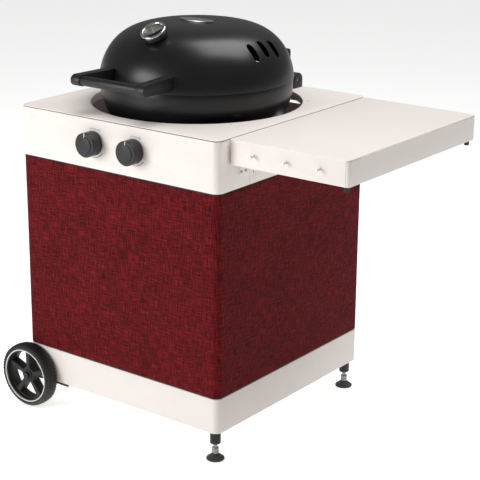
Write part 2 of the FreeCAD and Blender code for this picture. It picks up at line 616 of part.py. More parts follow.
rod_piece = on_gauge(turned("gauge_stem", [
    ("0", "-70"), ("Size.probe_radius", "-70"),
    ("Size.probe_radius", "Size.gauge_height - 12"), ("0", "Size.gauge_height - 12"),
]))
nut_piece = on_gauge(turned("gauge_nut", [("Size.probe_radius", "-13"), ("11", "-13"),
                                          ("11", "-8"), ("Size.probe_radius", "-8")]))
keep(group("gauge_probe", rod_piece, nut_piece))

# --- lid hinge ---------------------------------------------------------------

half_span = "(Size.hinge_span / 2)"
hinge_blocks = []
hinge_arms = []
pin_x = f"({KETTLE_X} - {half_span})"
for side, x in (("left", pin_x), ("right", f"({KETTLE_X} + {half_span} - Size.hinge_block)")):
    name = f"hinge_block_{side}"
    barrel = rod(f"{name}_barrel", "Size.hinge_radius", "Size.hinge_block", x, HINGE_Y, HINGE_Z, "X")
    base = block(f"{name}_base", "Size.hinge_block", "2 * Size.hinge_radius", "Size.hinge_rise", x,
                 f"{HINGE_Y} - Size.hinge_radius", PLATE_TOP)
    bore = rod(f"{name}_bore", "Size.lid_pin", "Size.hinge_block + 2", f"{x} - 1", HINGE_Y, HINGE_Z,
               "X")
    hinge_blocks.append(cut(name, fuse(f"{name}_solid", barrel, base), bore))
keep(group("lid_hinge_blocks", *hinge_blocks))
keep(rod("lid_hinge_pin", "Size.lid_pin", "Size.hinge_span - 4", f"{pin_x} + 2", HINGE_Y, HINGE_Z,
         "X"))
arm_top = "(Size.rim_rise - Size.hinge_rise + 44)"
arm_low = "(Size.rim_rise - Size.hinge_rise + 14)"
for side, sign in (("left", "-"), ("right", "+")):
    name = f"lid_arm_{side}"
    x = f"({KETTLE_X} {sign} ({half_span} - Size.hinge_block - 1 - Size.arm_wall / 2))"
    arm = pressed(f"{name}_plate", "YZ_Plane", [
        ("-12", "0"), ("12", "0"), ("12", f"{arm_top} - 12", "12"), ("0", arm_top),
        ("-110", arm_top), ("-110", arm_low), ("-24", arm_low, "-12"), ("-12", f"{arm_low} - 12"),
    ], "Size.arm_wall")
    put(arm, x, HINGE_Y, HINGE_Z)
    eye = rod(f"{name}_eye", "14", "Size.arm_wall", f"{x} - Size.arm_wall / 2", HINGE_Y, HINGE_Z, "X")
    bore = rod(f"{name}_bore", "Size.lid_pin + Size.pin_play", "Size.arm_wall + 2",
               f"{x} - Size.arm_wall / 2 - 1", HINGE_Y, HINGE_Z, "X")
    hinge_arms.append(cut(name, fuse(f"{name}_solid", arm, eye), bore, dome_solid))
keep(group("lid_hinge_arms", *hinge_arms))

# --- burners and gas ---------------------------------------------------------

tube_start = f"({FRONT} + 64)"
valves = []
for side, x in knob_xs:
    name = f"valve_{side}"
    valve = middle_block(f"{name}_block", "30", "40", "34", x, f"{FRONT} + 36", f"{KNOB_Z} - 17")
    nose = rod(f"{name}_nose", "Size.stem_radius + 3", "20", x, f"{FRONT} + 0.5", KNOB_Z, "Y")
    jet = rod(f"{name}_jet", "5", "10", x, f"{FRONT} + 54", KNOB_Z, "Y")
    bore = rod(f"{name}_bore", "Size.stem_radius + Size.stem_play", "42", x, FRONT, KNOB_Z, "Y")
    valves.append(cut(name, fuse(f"{name}_solid", valve, nose, jet), bore))
keep(group("gas_valves", *valves))
reach_large = "sqrt(Size.burner_large^2 - (Size.knob_spacing / 2)^2)"
reach_small = "sqrt(Size.burner_small^2 - (Size.knob_spacing / 2)^2)"
burners = (("large", knob_xs[0][1], "Size.burner_large", reach_large, "28"),
           ("small", knob_xs[1][1], "Size.burner_small", reach_small, "0"))
ignition = []
for name, x, radius, reach, lift in burners:
    end_y = f"({KETTLE_Y} - {reach})"
    tube = rod(f"venturi_{name}", "Size.venturi_radius", f"{end_y} - {tube_start}", x, tube_start,
               KNOB_Z, "Y")
    ring = hoop(f"burner_{name}_hoop", radius, "Size.burner_tube", KETTLE_X, KETTLE_Y,
                f"{KNOB_Z} + {lift}")
    riser = rod(f"burner_{name}_riser", "Size.venturi_radius - 1", f"{lift} + 1", x, end_y,
                KNOB_Z)
    keep(fuse(f"burner_{name}", tube, ring, riser))
    lead_x = f"({x} + Size.venturi_radius + 9)"
    lead = rod(f"ignition_lead_{name}", "1.5", f"{end_y} - 30 - {FRONT} - 56", lead_x,
               f"{FRONT} + 56", KNOB_Z, "Y")
    ignition.append(lead)
    ignition.append(rod(f"electrode_{name}", "3.5", "26", lead_x, f"{end_y} - 30", KNOB_Z, "Y"))
keep(group("ignition_harness", *ignition))

pipe_y = f"({FRONT} + 44)"
pipe_start = knob_xs[0][1]
rear_y = f"({BACK} - 12)"
manifold = fuse(
    "gas_manifold",
    rod("manifold_run", "Size.pipe_radius", f"{PIPE_X} - {pipe_start}", pipe_start, pipe_y, PIPE_Z, "X"),
    ball("manifold_cap", "Size.pipe_radius", pipe_start, pipe_y, PIPE_Z),
    ball("manifold_elbow", "Size.pipe_radius", PIPE_X, pipe_y, PIPE_Z),
    rod("manifold_back", "Size.pipe_radius", f"{rear_y} - {pipe_y}", PIPE_X, pipe_y, PIPE_Z, "Y"))
keep(cut("gas_manifold_pipe", manifold,
         *[middle_block(f"valve_seat_{side}", "40", "40", "20", x, f"{FRONT} + 36",
                        f"{KNOB_Z} - 17") for side, x in knob_xs]))
inlet_nut = rod("inlet_nut", "Size.pipe_radius + 5", "8", PIPE_X, f"{BACK}", PIPE_Z, "Y")
inlet_nose = rod("inlet_nose", "Size.inlet_radius", "Size.inlet_length + 20", PIPE_X, rear_y,
                 PIPE_Z, "Y")
keep(fuse("gas_inlet", inlet_nut, inlet_nose))

flame = turned("flame_deflector_cone", [
    ("60", "0"), ("62", "0"), ("Size.rim_radius - 17", "34"), ("Size.rim_radius - 17", "36"),
    ("60", "2.4")])
put(flame, KETTLE_X, KETTLE_Y, f"{GRATE_Z} - 39 - 34")
flame.Label = "flame_deflector"
pieces.append(flame)
grate_edge = rod("grate_edge", GRATE_RADIUS, "Size.grate_bar", KETTLE_X, KETTLE_Y, GRATE_Z)
grate_hole = rod("grate_hole", f"{GRATE_RADIUS} - 8", "Size.grate_bar + 2", KETTLE_X, KETTLE_Y,
                 f"{GRATE_Z} - 1")
grate_disc = rod("grate_disc", f"{GRATE_RADIUS} - 4", "Size.grate_bar", KETTLE_X, KETTLE_Y, GRATE_Z)
bar_count = int(number(f"({GRATE_RADIUS} - 14) / Size.grate_pitch"))
bars = [middle_block(f"grate_bar_{n + bar_count}", "Size.grate_bar", f"2 * {GRATE_RADIUS}",
                     "Size.grate_bar", f"{KETTLE_X} + {n} * Size.grate_pitch", KETTLE_Y, GRATE_Z)
        for n in range(-bar_count, bar_count + 1)]
bars += [middle_block(f"grate_tie_{n}", f"2 * {GRATE_RADIUS}", "8", "Size.grate_bar", KETTLE_X,
                      f"{KETTLE_Y} + {n} * 150", GRATE_Z) for n in (-1, 0, 1)]
lattice = common("grate_lattice", fuse("grate_bars", *bars), grate_disc)
keep(fuse("cooking_grate", cut("grate_rim", grate_edge, grate_hole), lattice))

# --- drip tray ---------------------------------------------------------------

tray_box = middle_block("tray_box", "Size.tray_width", "Size.tray_depth", "Size.tray_height",
                        KETTLE_X, KETTLE_Y, tray_z)
tray_lip = middle_block("tray_lip", "Size.tray_width + 24", "Size.tray_depth", "Size.tray_wall",
                        KETTLE_X, KETTLE_Y, f"{tray_z} + Size.tray_height - Size.tray_wall")
tray_hollow = middle_block("tray_hollow", "Size.tray_width - 2 * Size.tray_wall",
                           "Size.tray_depth - 2 * Size.tray_wall", "Size.tray_height",
                           KETTLE_X, KETTLE_Y, f"{tray_z} + Size.tray_wall")
keep(cut("drip_tray", fuse("tray_solid", tray_box, tray_lip), tray_hollow))

# --- knobs -------------------------------------------------------------------

knob_front = f"({FRONT} - Size.knob_gap - Size.knob_length)"
bezels = []
for side, x in knob_xs:
    name = f"knob_{side}"
    cap = turned(f"{name}_cap", [
        ("0", "0"), ("Size.knob_radius - 11", "0"), ("Size.knob_radius - 10", "2.5"),
        ("Size.knob_radius - 2", "2.5", "2"), ("Size.knob_radius", "4.5"),
        ("Size.knob_radius", "Size.knob_length"),
        ("Size.knob_radius - 3", "Size.knob_length"),
        ("Size.knob_radius - 3", "Size.knob_length - 14"),
        ("Size.stem_radius + 4", "Size.knob_length - 14"),
        ("Size.stem_radius + 4", "Size.knob_length - 8"),
        ("0", "Size.knob_length - 8"),
    ])
    put(cap, x, knob_front, KNOB_Z, ALONG["Y"])
    stem_bore = rod(f"{name}_stem_bore", "Size.stem_radius + Size.stem_play", "40", x,
                    f"{knob_front} + 10", KNOB_Z, "Y")
    mark = middle_block(f"{name}_mark", "2.4", "8", "14", x, knob_front,
                        f"{KNOB_Z} + Size.knob_radius - 12")
    keep(cut(name, cap, stem_bore, mark))
    keep(common(f"knob_pointer_{side}", mark, cap))
    stem_start = f"({knob_front} + 10 + Size.press_travel + 0.5)"
    keep(rod(f"knob_stem_{side}", "Size.stem_radius", f"{FRONT} + 36 - {stem_start}", x, stem_start,
             KNOB_Z, "Y"))
    collar = rod(f"bezel_{side}_disc", "Size.bezel_radius", "Size.bezel_height", x,
                 f"{FRONT} - Size.bezel_height", KNOB_Z, "Y")
    bore = rod(f"bezel_{side}_bore", "Size.bezel_radius - 4", "Size.bezel_height + 2", x,
               f"{FRONT} - Size.bezel_height - 1", KNOB_Z, "Y")
    bezels.append(cut(f"knob_bezel_{side}", collar, bore))
keep(group("knob_bezels", *bezels))

# --- wheels ------------------------------------------------------------------

axle_z = "Size.wheel_radius"
axle_pieces = [rod("axle_rod", "Size.axle_radius", "Size.cabinet_depth + 2 * (Size.axle_over - 3)",
                   AXLE_X, f"{FRONT} - Size.axle_over + 3", axle_z, "Y")]
axle_brackets = []
plates = (("front", f"{FRONT} + Size.sheet_wall"),
          ("rear", f"{BACK} - Size.sheet_wall - Size.bracket_wall"))
for end, y in plates:
    plate = block(f"axle_plate_{end}", "Size.bracket_length - 6", "Size.bracket_wall",
                  "Size.bracket_rise", f"{LEFT} + 6", y, "Size.plinth_bottom - Size.bracket_drop")
    bore = rod(f"axle_plate_bore_{end}", "Size.axle_radius", "20", AXLE_X, f"{y} - 5", axle_z, "Y")
    trim = upright_block(f"axle_trim_{end}", "Size.sheet_wall", "Size.plinth_bottom - 20", "100")
    axle_brackets.append(cut(f"axle_bracket_{end}", common(f"axle_plate_trim_{end}", plate, trim),
                             bore))
keep(group("axle_brackets", *axle_brackets))

wheel_places = (("front", f"{FRONT} - Size.wheel_gap", "-Y"),
                ("rear", f"{BACK} + Size.wheel_gap", "Y"))
for end, place, turn in wheel_places:
    # Each wheel is drawn with its outer face up and its inner face on Z = 0.
    tyre = turned(f"tyre_{end}", [
        ("Size.wheel_radius - Size.tyre_wall", "0"), ("Size.wheel_radius - 4", "0"),
        ("Size.wheel_radius", "4"), ("Size.wheel_radius", "Size.wheel_width - 4"),
        ("Size.wheel_radius - 4", "Size.wheel_width"),
        ("Size.wheel_radius - Size.tyre_wall", "Size.wheel_width"),
    ])
    keep(put(tyre, AXLE_X, place, axle_z, ALONG[turn]))
    rim_out = "(Size.wheel_radius - Size.tyre_wall)"
    hub_bore = "(Size.axle_radius + Size.pin_play)"
    rim = turned(f"rim_{end}_disc", [
        (hub_bore, "0"), (rim_out, "0"), (rim_out, "Size.wheel_width - 1"),
        ("Size.trim_radius", "Size.wheel_width - 1"),
        ("Size.trim_radius", "Size.wheel_width - 4"),
        ("Size.trim_radius - Size.trim_wall - 3", "Size.wheel_width - 4"),
        ("Size.trim_radius - Size.trim_wall - 3", "Size.wheel_width - 14"),
        ("Size.hub_radius", "Size.wheel_width - 14"),
        ("Size.hub_radius", "Size.wheel_width - 12"),
        ("Size.hub_radius - 2", "Size.wheel_width - 10"),
        ("11", "Size.wheel_width - 10"), ("11", "Size.wheel_width - 14"),
        (hub_bore, "Size.wheel_width - 14"),
    ])
    window_low = "(Size.hub_radius + 6)"
    window_high = "(Size.trim_radius - Size.trim_wall - 6)"
    window = rim.newObject("Sketcher::SketchObject", f"rim_{end}_window")
    base_plane = [item for item in rim.Origin.OriginFeatures if item.Role == "XY_Plane"][0]
    window.AttachmentSupport = [(base_plane, "")]
    window.MapMode = "FlatFace"
    outline(window, [(f"{window_low} * 0.42", f"-{window_low}"),
                     (f"-{window_low} * 0.42", f"-{window_low}"),
                     (f"-{window_high} * 0.5", f"-{window_high} * 0.866", window_high),
                     (f"{window_high} * 0.5", f"-{window_high} * 0.866")])
    pocket = rim.newObject("PartDesign::Pocket", f"rim_{end}_pocket")
    pocket.Profile = window
    pocket.Midplane = True
    bind(pocket, Length="4 * Size.wheel_width")
    doc.recompute()
    spokes = rim.newObject("PartDesign::PolarPattern", f"rim_{end}_spokes")
    spokes.Originals = [pocket]
    spokes.Axis = ([item for item in rim.Origin.OriginFeatures if item.Role == "Z_Axis"][0], [""])
    spokes.Angle = 360
    spokes.Occurrences = 5
    rim.Tip = spokes
    rim.Label = f"wheel_rim_{end}"
    pieces.append(put(rim, AXLE_X, place, axle_z, ALONG[turn]))
    trim = turned(f"wheel_trim_{end}", [
        ("Size.trim_radius - Size.trim_wall", "Size.wheel_width - 4"),
        ("Size.trim_radius", "Size.wheel_width - 4"), ("Size.trim_radius", "Size.wheel_width"),
        ("Size.trim_radius - Size.trim_wall", "Size.wheel_width")])
    keep(put(trim, AXLE_X, place, axle_z, ALONG[turn]))
    cap_top = "(Size.axle_over - Size.wheel_gap)"
    cap = turned(f"axle_cap_{end}", [
        ("Size.axle_radius", "Size.wheel_width - 13.5"), ("9", "Size.wheel_width - 13.5"),
        ("9", "Size.wheel_width - 7", "3.2"), ("6", cap_top), ("0", cap_top),
        ("0", f"{cap_top} - 3"), ("Size.axle_radius", f"{cap_top} - 3")])
    spacer = turned(f"axle_spacer_{end}", [
        ("Size.axle_radius", "-Size.wheel_gap"), ("8", "-Size.wheel_gap"), ("8", "-0.3"),
        ("Size.axle_radius", "-0.3")])
    for piece in (cap, spacer):
        axle_pieces.append(put(piece, AXLE_X, place, axle_z, ALONG[turn]))
keep(group("wheel_axle", *axle_pieces))

# --- levelling feet ------------------------------------------------------------

foot_x = f"({RIGHT} - {foot_inset})"
sleeves = []
for end, y in foot_places:
    sleeve = turned(f"foot_sleeve_{end}", [
        ("Size.foot_stem + Size.pin_play", "-Size.sleeve_length"),
        ("Size.sleeve_radius", "-Size.sleeve_length"), ("Size.sleeve_radius", "0"),
        ("Size.sleeve_radius - 3.5", "0"), ("Size.sleeve_radius - 3.5", "14"),
        ("Size.foot_stem + Size.pin_play", "14")])
    sleeves.append(put(sleeve, foot_x, y, "Size.plinth_bottom"))
    pad = turned(f"foot_pad_{end}", [
        ("0", "0"), ("Size.foot_radius - 1", "0"), ("Size.foot_radius", "1.5"),
        ("Size.foot_radius", "5"), ("Size.foot_radius - 6", "9"), ("9", "Size.foot_height"),
        ("5 + Size.pin_play", "Size.foot_height"), ("5 + Size.pin_play", "4"), ("0", "4")])
    keep(put(pad, foot_x, y, 0))
    thread = turned(f"foot_thread_{end}", [
        ("0", "4.02"), ("5", "4.02"), ("5", "Size.foot_height + 0.1"),
        ("Size.foot_stem", "Size.foot_height + 0.1"),
        ("Size.foot_stem", "Size.plinth_bottom - 2"), ("0", "Size.plinth_bottom - 2")])
    screw = [put(thread, foot_x, y, 0)]
    for kind, low in (("hex", "(Size.foot_height + 0.1)"),
                      ("locknut", "(Size.foot_height + 0.1 + Size.nut_height)")):
        nut = doc.addObject("Part::Prism", f"foot_{kind}_{end}_blank")
        nut.Polygon = 6
        bind(nut, Circumradius="Size.nut_radius", Height="Size.nut_height - 0.2")
        put(nut, foot_x, y, low)
        hole = rod(f"foot_{kind}_{end}_hole", "Size.foot_stem", "Size.nut_height + 2", foot_x, y,
                   f"{low} - 1")
        screw.append(cut(f"foot_{kind}_{end}", nut, hole))
    keep(group(f"foot_screw_{end}", *screw))
keep(group("foot_sleeves", *sleeves))

# --- side shelf ----------------------------------------------------------------

shelf_out = block("shelf_block", "Size.shelf_length", "Size.shelf_width", "Size.shelf_height",
                  SHELF_LEFT, SHELF_FRONT, SHELF_BOTTOM)
shelf_hollow = block("shelf_hollow", "Size.shelf_length - 2 * Size.sheet_wall",
                     "Size.shelf_width - 2 * Size.sheet_wall", "Size.shelf_height",
                     f"{SHELF_LEFT} + Size.sheet_wall", f"{SHELF_FRONT} + Size.sheet_wall",
                     f"{SHELF_BOTTOM} - Size.sheet_wall")
doc.recompute()


def round_outer(name, core, radius):
    """Round the upright edges at the shelf's free end."""
    edges = [i + 1 for i, edge in enumerate(core.Shape.Edges)
             if abs(edge.tangentAt(edge.FirstParameter).z) > 0.9
             and edge.CenterOfMass.x > number(f"{SHELF_LEFT} + 10")]
    rounded = doc.addObject("Part::Fillet", name)
    rounded.Base = core
    rounded.Edges = [(i, number(radius), number(radius)) for i in edges]
    return rounded


shelf_shell = cut("shelf_shell", round_outer("shelf_skin", shelf_out, "Size.shelf_round"),
                  round_outer("shelf_core", shelf_hollow, "Size.shelf_round - Size.sheet_wall"))
apron_left = f"({SHELF_LEFT} + Size.shelf_length - Size.shelf_round)"
apron_zone = block("apron_zone", "Size.shelf_round + 10", "Size.shelf_width + 20",
                   "Size.shelf_height", apron_left, f"{SHELF_FRONT} - 10",
                   f"{SHELF_BOTTOM} - 2 * Size.sheet_wall")
apron_cut = block("apron_cut", "Size.shelf_round + 10 + Size.shelf_seam", "Size.shelf_width + 20",
                  "Size.shelf_height", f"{apron_left} - Size.shelf_seam", f"{SHELF_FRONT} - 10",
                  f"{SHELF_BOTTOM} - 2 * Size.sheet_wall + Size.shelf_seam")
keep(cut("shelf_tray", shelf_shell, apron_cut))
keep(common("shelf_end_apron", shelf_shell, apron_zone))

lug_places = (("front", f"({SHELF_FRONT} + Size.lug_inset)"),
              ("rear", f"({SHELF_FRONT} + Size.shelf_width - Size.lug_inset)"))
shelf_frame = []
brackets = []
fasteners = []
for end, y in lug_places:
    name = f"shelf_arm_{end}"
    arm_corners = [
        ("0", "Size.shelf_barrel"), ("0", "-3"), ("50", "-3"), ("70", "20"),
        ("70", SHELF_CEILING),
        ("2 + Size.shelf_barrel", SHELF_CEILING),
        ("2 + Size.shelf_barrel", "Size.shelf_barrel")]
    plate = pressed(f"{name}_plate", "XZ_Plane", arm_corners, "Size.lug_wall")
    put(plate, PIVOT_X, y, PIVOT_Z)
    eye = rod(f"{name}_eye", "Size.shelf_barrel", "Size.lug_wall", PIVOT_X,
              f"{y} - Size.lug_wall / 2", PIVOT_Z, "Y")
    bore = rod(f"{name}_bore", "Size.shelf_pin + Size.pin_play", "Size.lug_wall + 2", PIVOT_X,
               f"{y} - Size.lug_wall / 2 - 1", PIVOT_Z, "Y")
    shelf_frame.append(cut(name, fuse(f"{name}_solid", plate, eye), bore))

    bracket = f"shelf_bracket_{end}"
    back = middle_block(f"{bracket}_back", "3", "34", "34", f"({RIGHT} + 1.5)", y,
                        f"{PIVOT_Z} - 30")
    lugs = []
    for n, sign in enumerate(("-", "+")):
        lug_y = f"({y} {sign} (Size.lug_wall + 1.5))"
        lugs.append(middle_block(f"{bracket}_lug_{n}", "Size.shelf_pivot_out", "Size.lug_wall", "16",
                                 f"({RIGHT} + Size.shelf_pivot_out / 2)", lug_y, f"{PIVOT_Z} - 12"))
        lugs.append(rod(f"{bracket}_eye_{n}", "Size.shelf_barrel", "Size.lug_wall", PIVOT_X,
                        f"{lug_y} - Size.lug_wall / 2", PIVOT_Z, "Y"))
    pin_bore = rod(f"{bracket}_bore", "Size.shelf_pin", "60", PIVOT_X, f"{y} - 30", PIVOT_Z, "Y")
    brackets.append(cut(bracket, fuse(f"{bracket}_solid", back, *lugs), pin_bore))
    fasteners.append(rod(f"shelf_pin_{end}", "Size.shelf_pin", "26", PIVOT_X, f"{y} - 13",
                         PIVOT_Z, "Y"))
    for n, sign in enumerate(("-", "+")):
        fasteners.append(rod(f"bracket_screw_{end}_{n}", "4", "2.2", f"{RIGHT} + 3",
                             f"{y} {sign} 10", f"{PIVOT_Z} - 22", "X"))
    shelf_frame.append(middle_block(
        f"shelf_stiffener_{end}", "Size.shelf_length - 110", "24", "16",
        f"({SHELF_LEFT} + 84 + (Size.shelf_length - 110) / 2)", y,
        f"{PLATE_TOP} - Size.sheet_wall - 16"))
keep(group("shelf_hinge_brackets", *brackets))
keep(group("shelf_hinge_fasteners", *fasteners))

hooks = []
for n in range(3):
    hook_x = f"({RIGHT} + Size.hook_first + {n} * Size.hook_pitch)"
    hook_z = f"({PLATE_TOP} - Size.hook_drop)"
    shank = rod(f"hook_shank_{n}", "Size.hook_radius", "Size.hook_length - 4", hook_x,
                f"{SHELF_FRONT} - Size.hook_length + 4", hook_z, "Y")
    head = turned(f"hook_head_{n}", [("0", "0"), ("Size.hook_head - 1.5", "0", "1.5"),
                                     ("Size.hook_head", "1.5"), ("Size.hook_head", "3.5"),
                                     ("Size.hook_radius", "6"), ("0", "6")])
    put(head, hook_x, f"{SHELF_FRONT} - Size.hook_length", hook_z, ALONG["Y"])
    hooks.append(fuse(f"utensil_hook_{n + 1}", shank, head))
keep(group("utensil_hooks", *hooks))

buffers = []
buffer_x = f"({SHELF_LEFT} + Size.shelf_length - Size.buffer_inset)"
for end, y in (("front", f"({SHELF_FRONT} + Size.buffer_inset)"),
               ("rear", f"({SHELF_FRONT} + Size.shelf_width - Size.buffer_inset)")):
    buffers.append(rod(f"shelf_buffer_{end}", "Size.buffer_radius", "Size.buffer_length + 40",
                       buffer_x, y, f"{SHELF_BOTTOM} - Size.buffer_length"))
    shelf_frame.append(middle_block(f"buffer_bracket_{end}", "22", "22",
                                    "Size.shelf_height - Size.sheet_wall - 40", buffer_x, y,
                                    f"{SHELF_BOTTOM} + 40"))
keep(group("shelf_buffers", *buffers))
keep(group("shelf_frame", *shelf_frame))

# --- check and write ---------------------------------------------------------

doc.recompute()
for item in doc.Objects:
    if "Invalid" in item.State or "Error" in item.State:
        raise ValueError(f"{item.Name} is {item.State}")
names = [piece.Label for piece in pieces]
if len(names) != len(set(names)):
    raise ValueError("two pieces share a name")
os.makedirs("parts", exist_ok=True)
for piece in pieces:
    shape = piece.Shape
    if shape.isNull() or not shape.isValid() or not shape.Solids:
        raise ValueError(f"{piece.Label} has no valid solid")
    shape.exportStep(f"parts/{piece.Label}.step")
    box = shape.BoundBox
    print(f"{piece.Label:24s} solids {len(shape.Solids)} volume {shape.Volume / 1000:9.1f} cm3"
          f" X {box.XMin:7.1f} {box.XMax:7.1f} Y {box.YMin:7.1f} {box.YMax:7.1f}"
          f" Z {box.ZMin:7.1f} {box.ZMax:7.1f}")
print(len(pieces), "pieces")
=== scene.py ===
# %% [markdown]
# # A kettle barbecue on a fabric-clad cabinet
# The object is a white sheet-metal cabinet with a dark red woven cover, a black
# kettle with a domed lid, two knobs, a folding shelf, two wheels and two
# levelling feet. The engineering model gives every piece with its true size
# and place. This lesson adds what an eye looks for: rounded sheet edges, woven
# cloth, moulded plastic, enamel, printed marks and small hardware.

# %% Load the fixed frame
import bpy
import bmesh
import json
import math
from mathutils import Matrix, Vector

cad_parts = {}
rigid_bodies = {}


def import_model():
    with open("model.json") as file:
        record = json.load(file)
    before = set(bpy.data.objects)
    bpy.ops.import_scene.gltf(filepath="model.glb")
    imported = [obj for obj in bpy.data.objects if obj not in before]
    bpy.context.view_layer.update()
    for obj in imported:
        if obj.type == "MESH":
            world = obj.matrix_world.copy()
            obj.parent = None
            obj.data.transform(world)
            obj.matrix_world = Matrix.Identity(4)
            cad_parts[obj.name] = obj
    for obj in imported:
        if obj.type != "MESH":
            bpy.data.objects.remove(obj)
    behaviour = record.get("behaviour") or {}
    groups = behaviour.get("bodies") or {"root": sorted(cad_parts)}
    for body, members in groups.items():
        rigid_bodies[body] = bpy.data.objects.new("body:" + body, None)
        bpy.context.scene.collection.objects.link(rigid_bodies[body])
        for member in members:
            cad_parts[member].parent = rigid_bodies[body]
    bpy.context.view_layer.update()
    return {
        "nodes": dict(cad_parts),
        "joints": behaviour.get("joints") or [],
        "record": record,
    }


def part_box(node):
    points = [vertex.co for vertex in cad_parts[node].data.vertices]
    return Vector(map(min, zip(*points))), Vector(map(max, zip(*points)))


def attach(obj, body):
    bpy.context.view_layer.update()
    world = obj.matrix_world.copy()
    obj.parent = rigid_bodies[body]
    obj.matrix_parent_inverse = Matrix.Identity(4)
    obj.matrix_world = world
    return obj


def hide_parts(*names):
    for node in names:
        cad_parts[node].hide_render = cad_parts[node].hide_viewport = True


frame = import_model()
record = frame["record"]
joints = {joint["name"]: joint for joint in frame["joints"]}
body_of_node = {node: body for body, nodes in record["behaviour"]["bodies"].items()
                for node in nodes}
slot_of_node = {part["node"]: part["material_slot"] for part in record["subparts"]}

# %% [markdown]
# ## The viewpoint
# A product view is taken from well away with a long lens, so that upright edges
# stay nearly upright. The camera is placed from one corner of the top plate. A
# small lens shift frames the object without tilting the camera further.

# %% Camera
FROM_CORNER = Vector((2.9998, -2.9494, 0.926))
LOOK_DOWN = math.radians(18.465)
LOOK_LEFT = math.radians(38.346)
plate_low, plate_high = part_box("top_plate")
plate_corner = Vector((plate_low.x, plate_low.y, plate_high.z))
camera_data = bpy.data.cameras.new("camera")
camera_data.lens = 110.0
camera_data.sensor_width = 36.0
camera_data.shift_x = 0.0822
camera_data.shift_y = 0.036
camera = bpy.data.objects.new("camera", camera_data)
camera.location = plate_corner + FROM_CORNER
camera.rotation_euler = (math.pi / 2 - LOOK_DOWN, 0, LOOK_LEFT)
bpy.context.scene.collection.objects.link(camera)
bpy.context.scene.camera = camera
print("camera at", [round(value, 3) for value in camera.location])

# %% [markdown]
# ## Floor and light
# Large area lights give the wide soft reflections that black enamel needs. The
# key light stands in front, on the left, so the front of the cabinet is brighter
# than its side. The floor is almost white with a faint mottle, and it glows a
# little, more to the camera than to the object, so it stays pale everywhere. The
# room is pure white to the camera and dim as a source of light.

# %% Small helpers for node trees
def add(tree, kind, settings=None, **inputs):
    """Add a node, set its properties, and set or link its inputs by name or identifier."""
    node = tree.nodes.new(kind)
    for name, value in (settings or {}).items():
        setattr(node, name, value)
    for name, value in inputs.items():
        plain = name.replace("_", " ")
        found = [socket for socket in node.inputs if socket.identifier == name]
        found += [socket for socket in node.inputs if socket.name == plain and socket.enabled]
        if isinstance(value, bpy.types.NodeSocket):
            tree.links.new(value, found[0])
        else:
            found[0].default_value = value
    return node


def maths(tree, operation, first, second=0.0, third=0.0):
    """One sum. It returns the result's socket."""
    node = tree.nodes.new("ShaderNodeMath")
    node.operation = operation
    for index, value in enumerate((first, second, third)):
        if isinstance(value, bpy.types.NodeSocket):
            tree.links.new(value, node.inputs[index])
        else:
            node.inputs[index].default_value = value
    return node.outputs[0]


def blend_colours(tree, factor, first, second):
    """Mix two colours. It returns the result's socket."""
    node = add(tree, "ShaderNodeMix", {"data_type": "RGBA"}, Factor_Float=factor,
               A_Color=first, B_Color=second)
    return node.outputs[2]


def linear(code):
    """A hexadecimal screen colour as linear light."""
    parts = [int(code[i:i + 2], 16) / 255 for i in (1, 3, 5)]
    return tuple(p / 12.92 if p <= 0.04045 else ((p + 0.055) / 1.055) ** 2.4
                 for p in parts) + (1.0,)


# %% Floor and lights
FLOOR_HALF = 30
FLOOR_GLOW, EXTRA_GLOW_SEEN = 0.40, 0.24
floor_mesh = bpy.data.meshes.new("studio_floor")
floor_mesh.from_pydata([(x * FLOOR_HALF, y * FLOOR_HALF, 0)
                        for x, y in ((-1, -1), (1, -1), (1, 1), (-1, 1))], [], [(0, 1, 2, 3)])
floor = bpy.data.objects.new("studio_floor", floor_mesh)
floor.location.z = -0.0005
bpy.context.scene.collection.objects.link(floor)
floor_finish = bpy.data.materials.new("pale_floor")
floor_finish.use_nodes = True
tree = floor_finish.node_tree
mottle = add(tree, "ShaderNodeTexNoise", Scale=3.0, Detail=4.0,
             Vector=add(tree, "ShaderNodeTexCoord").outputs["Object"])
shader = tree.nodes["Principled BSDF"]
tree.links.new(blend_colours(tree, mottle.outputs["Fac"], (0.93, 0.93, 0.93, 1),
                             (0.90, 0.90, 0.90, 1)), shader.inputs["Base Color"])
shader.inputs["Roughness"].default_value = 0.75
shader.inputs["Emission Color"].default_value = (1.0, 1.0, 1.0, 1)
facing_camera = add(tree, "ShaderNodeLightPath").outputs["Is Camera Ray"]
tree.links.new(maths(tree, "MULTIPLY_ADD", facing_camera, EXTRA_GLOW_SEEN, FLOOR_GLOW),
               shader.inputs["Emission Strength"])
floor_mesh.materials.append(floor_finish)

world = bpy.data.worlds.new("studio")
world.use_nodes = True
sky = world.node_tree
room = sky.nodes["Background"]
room.inputs["Color"].default_value = (1.0, 0.99, 0.98, 1)
room.inputs["Strength"].default_value = 0.2
backdrop = add(sky, "ShaderNodeBackground", Color=(1.0, 1.0, 1.0, 1.0), Strength=1.0)
seen = add(sky, "ShaderNodeLightPath").outputs["Is Camera Ray"]
choice = add(sky, "ShaderNodeMixShader", Fac=seen)
sky.links.new(room.outputs["Background"], choice.inputs[1])
sky.links.new(backdrop.outputs["Background"], choice.inputs[2])
sky.links.new(choice.outputs["Shader"], sky.nodes["World Output"].inputs["Surface"])
bpy.context.scene.world = world
bpy.context.scene.view_settings.view_transform = "Standard"


AIM = Vector((0, 0, 0.7))


def softbox(name, place, size, power):
    """A large square lamp that faces the object's middle."""
    data = bpy.data.lights.new(name, "AREA")
    data.size = size
    data.energy = power
    lamp = bpy.data.objects.new(name, data)
    lamp.location = place
    lamp.rotation_euler = (AIM - Vector(place)).to_track_quat("-Z", "Y").to_euler()
    bpy.context.scene.collection.objects.link(lamp)
    return lamp


